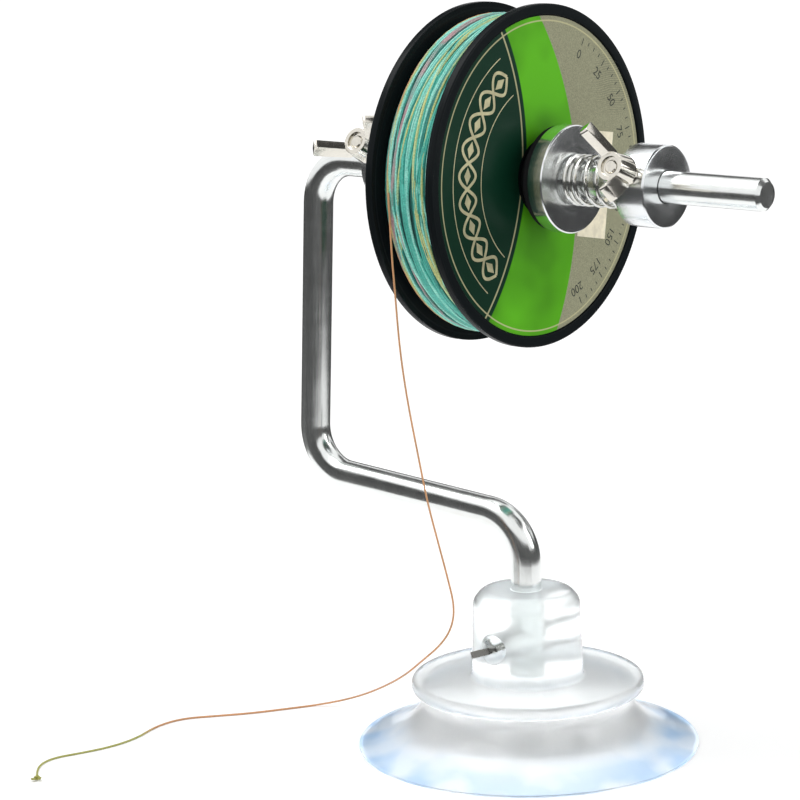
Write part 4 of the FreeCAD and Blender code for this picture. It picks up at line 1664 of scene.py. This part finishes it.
    def singles(self, dice: random.Random) -> list[tuple[list[Vector], int]]:
        """Single bright strands that lie near the edges.

        Args:
            dice: where their random draws come from.

        Returns:
            Each strand's places and its shade.
        """
        leans = [[(0.5, 1.0)], [(0.3, 0.4)]]
        centres = ((self.left + 3.3, Shade.YELLOW_GREEN), (self.left + 3.9, Shade.PALE_AQUA),
                   (self.right - 0.9, Shade.YELLOW_GREEN), (self.right - 1.6, Shade.PALE_AQUA),
                   (self.right - 3.2, Shade.YELLOW_GREEN), (self.left + 5.6, Shade.ROSE_GREY))
        return [(self.strand(centre, leans, self.single_height, dice.random()), shade)
                for centre, shade in centres]

    def build(self) -> None:
        """Make the core, the strands over it and the tan last turn."""
        self.core()
        dice = random.Random(self.seed)
        start = self.left + self.end_inset
        span = self.right - self.left - 2 * self.end_inset
        runs = self.packed(dice, start, span) + self.crossing(dice, start, span) + self.singles(dice)
        shades = [shade.material() for shade in LINE_SHADES] + [LINE_SHADOW.material()]
        wound = strands("wound_strands", runs, self.strand_r, shades)
        dressed(wound, "spool", [], ("wound_line",))
        places = self.strand(self.left + self.last_turn_in, [[(0.2, 2.0)]], self.last_turn_height, 0.2)
        last = strands("last_turn", [(places, 0)], self.last_turn_r, [TAIL_LINE.material()])
        dressed(last, "spool", [])


@dataclass
class SpindleStack:
    """Turned rings on the spindle: pressure discs, sleeve and the brake spring."""

    bore_r: float = 4.05
    disc_r: float = 13.5
    disc_t: float = 4.5
    edge: float = 0.3
    front_disc_x: float = 13.15
    rear_disc_x: float = -23.65
    sleeve_x: float = -36.05
    sleeve_length: float = 12.4
    sleeve_r: float = 6.0
    spring_x: float = 17.65
    spring_length: float = 19.5
    spring_r: float = 5.95
    wire_r: float = 0.55
    end_gap: float = 0.1
    close_pitch: float = 1.55
    close_turns: float = 2.5
    open_turns: float = 4.0
    far_turns: float = 0.5
    facets: int = 28
    spring_keep: float = 13.5 / 19.5
    softness: float = 0.08
    ring_facets: int = 160

    def ring(self, name: str, start: float, length: float, outer: float, body: str, node: str) -> None:
        """A turned ring with broken edges and a countersunk bore.

        Args:
            name: the piece's name.
            start: the x of its rear face.
            length: how long it is along the spindle.
            outer: its outer radius.
            body: the body that it rides on.
            node: the CAD node that it stands for.
        """
        end = start + length
        outline = rounded([(start + self.edge, self.bore_r), (end - self.edge, self.bore_r),
                           (end, self.bore_r + self.edge), (end, outer - self.edge),
                           (end - self.edge, outer), (start + self.edge, outer),
                           (start, outer - self.edge), (start, self.bore_r + self.edge)],
                          self.softness, steps=2)
        as_piece(name, lathe(outline, steps=self.ring_facets), body,
                 [TURNED_BRIGHT.material()], (node,))

    def spring(self) -> None:
        """The brake spring: close turns at the disc, then open turns."""
        seat = self.end_gap + self.wire_r
        closed = self.close_turns + self.far_turns
        free = self.spring_length - 2 * seat - closed * self.close_pitch
        sections = ((self.close_turns, self.close_pitch), (self.open_turns, free / self.open_turns),
                    (self.far_turns, self.close_pitch))
        along, turn = self.spring_x + seat, 0.0
        places = [about_spindle(along, self.spring_r, turn)]
        for turns, pitch in sections:
            for _ in range(round(turns * self.facets)):
                along += pitch / self.facets
                turn += 2 * math.pi / self.facets
                places.append(about_spindle(along, self.spring_r, turn))
        coil = strands("spring_coil", [(places, 0)], self.wire_r, [SPRING_WIRE.material()], 3)
        dressed(coil, "brake_disc", [], ("brake_spring",))
        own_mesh(coil)

    def build(self) -> None:
        """Make the rings and the spring."""
        self.ring("front_disc", self.front_disc_x, self.disc_t, self.disc_r, "brake_disc",
                  "front_pressure_disc")
        self.ring("rear_disc", self.rear_disc_x, self.disc_t, self.disc_r, "rear_stop", "rear_pressure_disc")
        self.ring("sleeve", self.sleeve_x, self.sleeve_length, self.sleeve_r, "rear_stop", "spacer_sleeve")
        self.spring()


@dataclass
class ClampCollar:
    """A shaft collar with its wing screw."""

    end: str
    start_x: float
    tilt_deg: float
    body: str
    screw_body: str
    wing_body: str
    width: float = 8.85
    radius: float = 10.2
    bore_r: float = 4.22
    edge: float = 0.4
    stud_r: float = 2.5
    neck_r: float = 1.65
    lift: float = 2.8
    boss_height: float = 5.6
    recess: float = 0.8
    thread_pitch: float = 0.8
    thread_depth: float = 0.28
    thread_start: float = 4.4
    point: float = 4.05
    softness: float = 0.1
    ring_facets: int = 160
    stud_facets: int = 64
    hole_gap: float = 0.06
    wing_softness: float = 0.4
    wing_merge: float = 0.003

    def screw_axis(self) -> Matrix:
        """The move from +Z about the origin to the clamp screw's axis."""
        return (Matrix.Translation((self.start_x + self.width / 2, 0, SPINDLE_Z))
                @ Matrix.Rotation(math.radians(90 - self.tilt_deg), 4, "X"))

    def collar(self) -> None:
        """The collar, with a radial hole for the screw."""
        end = self.start_x + self.width
        outline = rounded([(self.start_x, self.bore_r), (end, self.bore_r), (end, self.radius - self.edge),
                           (end - self.edge, self.radius), (self.start_x + self.edge, self.radius),
                           (self.start_x, self.radius - self.edge)], self.softness, steps=2)
        axis = self.screw_axis()
        hole = rod_between(axis @ Vector((0, 0, 1.0)), axis @ Vector((0, 0, 2 * self.radius)),
                           self.stud_r + self.hole_gap)
        drilled = cut_away(lathe(outline, steps=self.ring_facets), hole)
        as_piece(self.end + "_clamp_ring", drilled, self.body,
                 [TURNED_BRIGHT.material()], (self.end + "_collar",))

    def stud(self) -> None:
        """The screw's stud: thread, shoulder and riveted neck."""
        boss = self.radius + self.lift
        top = boss + self.boss_height - self.recess / 2 + 0.1
        core = self.stud_r - self.thread_depth
        outline = [(self.point, 0.0), (self.point, core)]
        along = self.thread_start
        while along + self.thread_pitch < boss - 0.3:
            outline += [(along, core), (along + self.thread_pitch / 2, self.stud_r)]
            along += self.thread_pitch
        outline += [(along, core), (boss - 0.05, core), (boss - 0.05, self.neck_r),
                    (top - 0.35, self.neck_r), (top - 0.08, self.neck_r - 0.28), (top, 0.0)]
        mesh = lathe(outline, Axis.UPRIGHT, ORIGIN, self.stud_facets, closed=False)
        bmesh.ops.transform(mesh, matrix=self.screw_axis(), verts=mesh.verts[:])
        as_piece(self.end + "_stud", mesh, self.screw_body, [NICKEL.material()],
                 (self.end + "_clamp_stud",))

    def wings(self) -> None:
        """The wing head: a merged copy of the CAD solid with its edges softened."""
        node = self.end + "_wing_head"
        mesh = bmesh.new()
        mesh.from_mesh(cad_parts[node].data)
        bmesh.ops.scale(mesh, vec=(1 / MM,) * 3, verts=mesh.verts[:])
        bmesh.ops.remove_doubles(mesh, verts=mesh.verts[:], dist=self.wing_merge)
        bmesh.ops.dissolve_limit(mesh, angle_limit=math.radians(1.0), verts=mesh.verts[:],
                                 edges=mesh.edges[:])
        sharp = [edge for edge in mesh.edges
                 if edge.is_manifold and edge.calc_face_angle() > math.radians(CREASE_DEG)]
        bmesh.ops.bevel(mesh, geom=sharp, offset=self.wing_softness, segments=4, profile=0.5,
                        affect="EDGES", material=-1, clamp_overlap=True)
        bmesh.ops.recalc_face_normals(mesh, faces=mesh.faces[:])
        as_piece(self.end + "_wings", mesh, self.wing_body, [NICKEL.material()], (node,))

    def build(self) -> None:
        """Make the collar, the stud and the wing head."""
        self.collar()
        self.stud()
        self.wings()


def main() -> None:
    """Build the camera and the cord first, then the rest of the winder."""
    logging.basicConfig(level=logging.INFO, format="%(message)s")
    PhotoCamera().build()
    TailLine().build()
    Studio().build()
    CrankRod().build()
    SuctionFoot().build()
    Spool().build()
    LabelDressing().build()
    Winding().build()
    SpindleStack().build()
    ClampCollar("front", 37.15, 21.2, "front_clamp", "front_screw", "front_wings").build()
    ClampCollar("rear", -44.9, 25.7, "rear_stop", "rear_screw", "rear_wings").build()


if __name__ == "__main__":
    main()
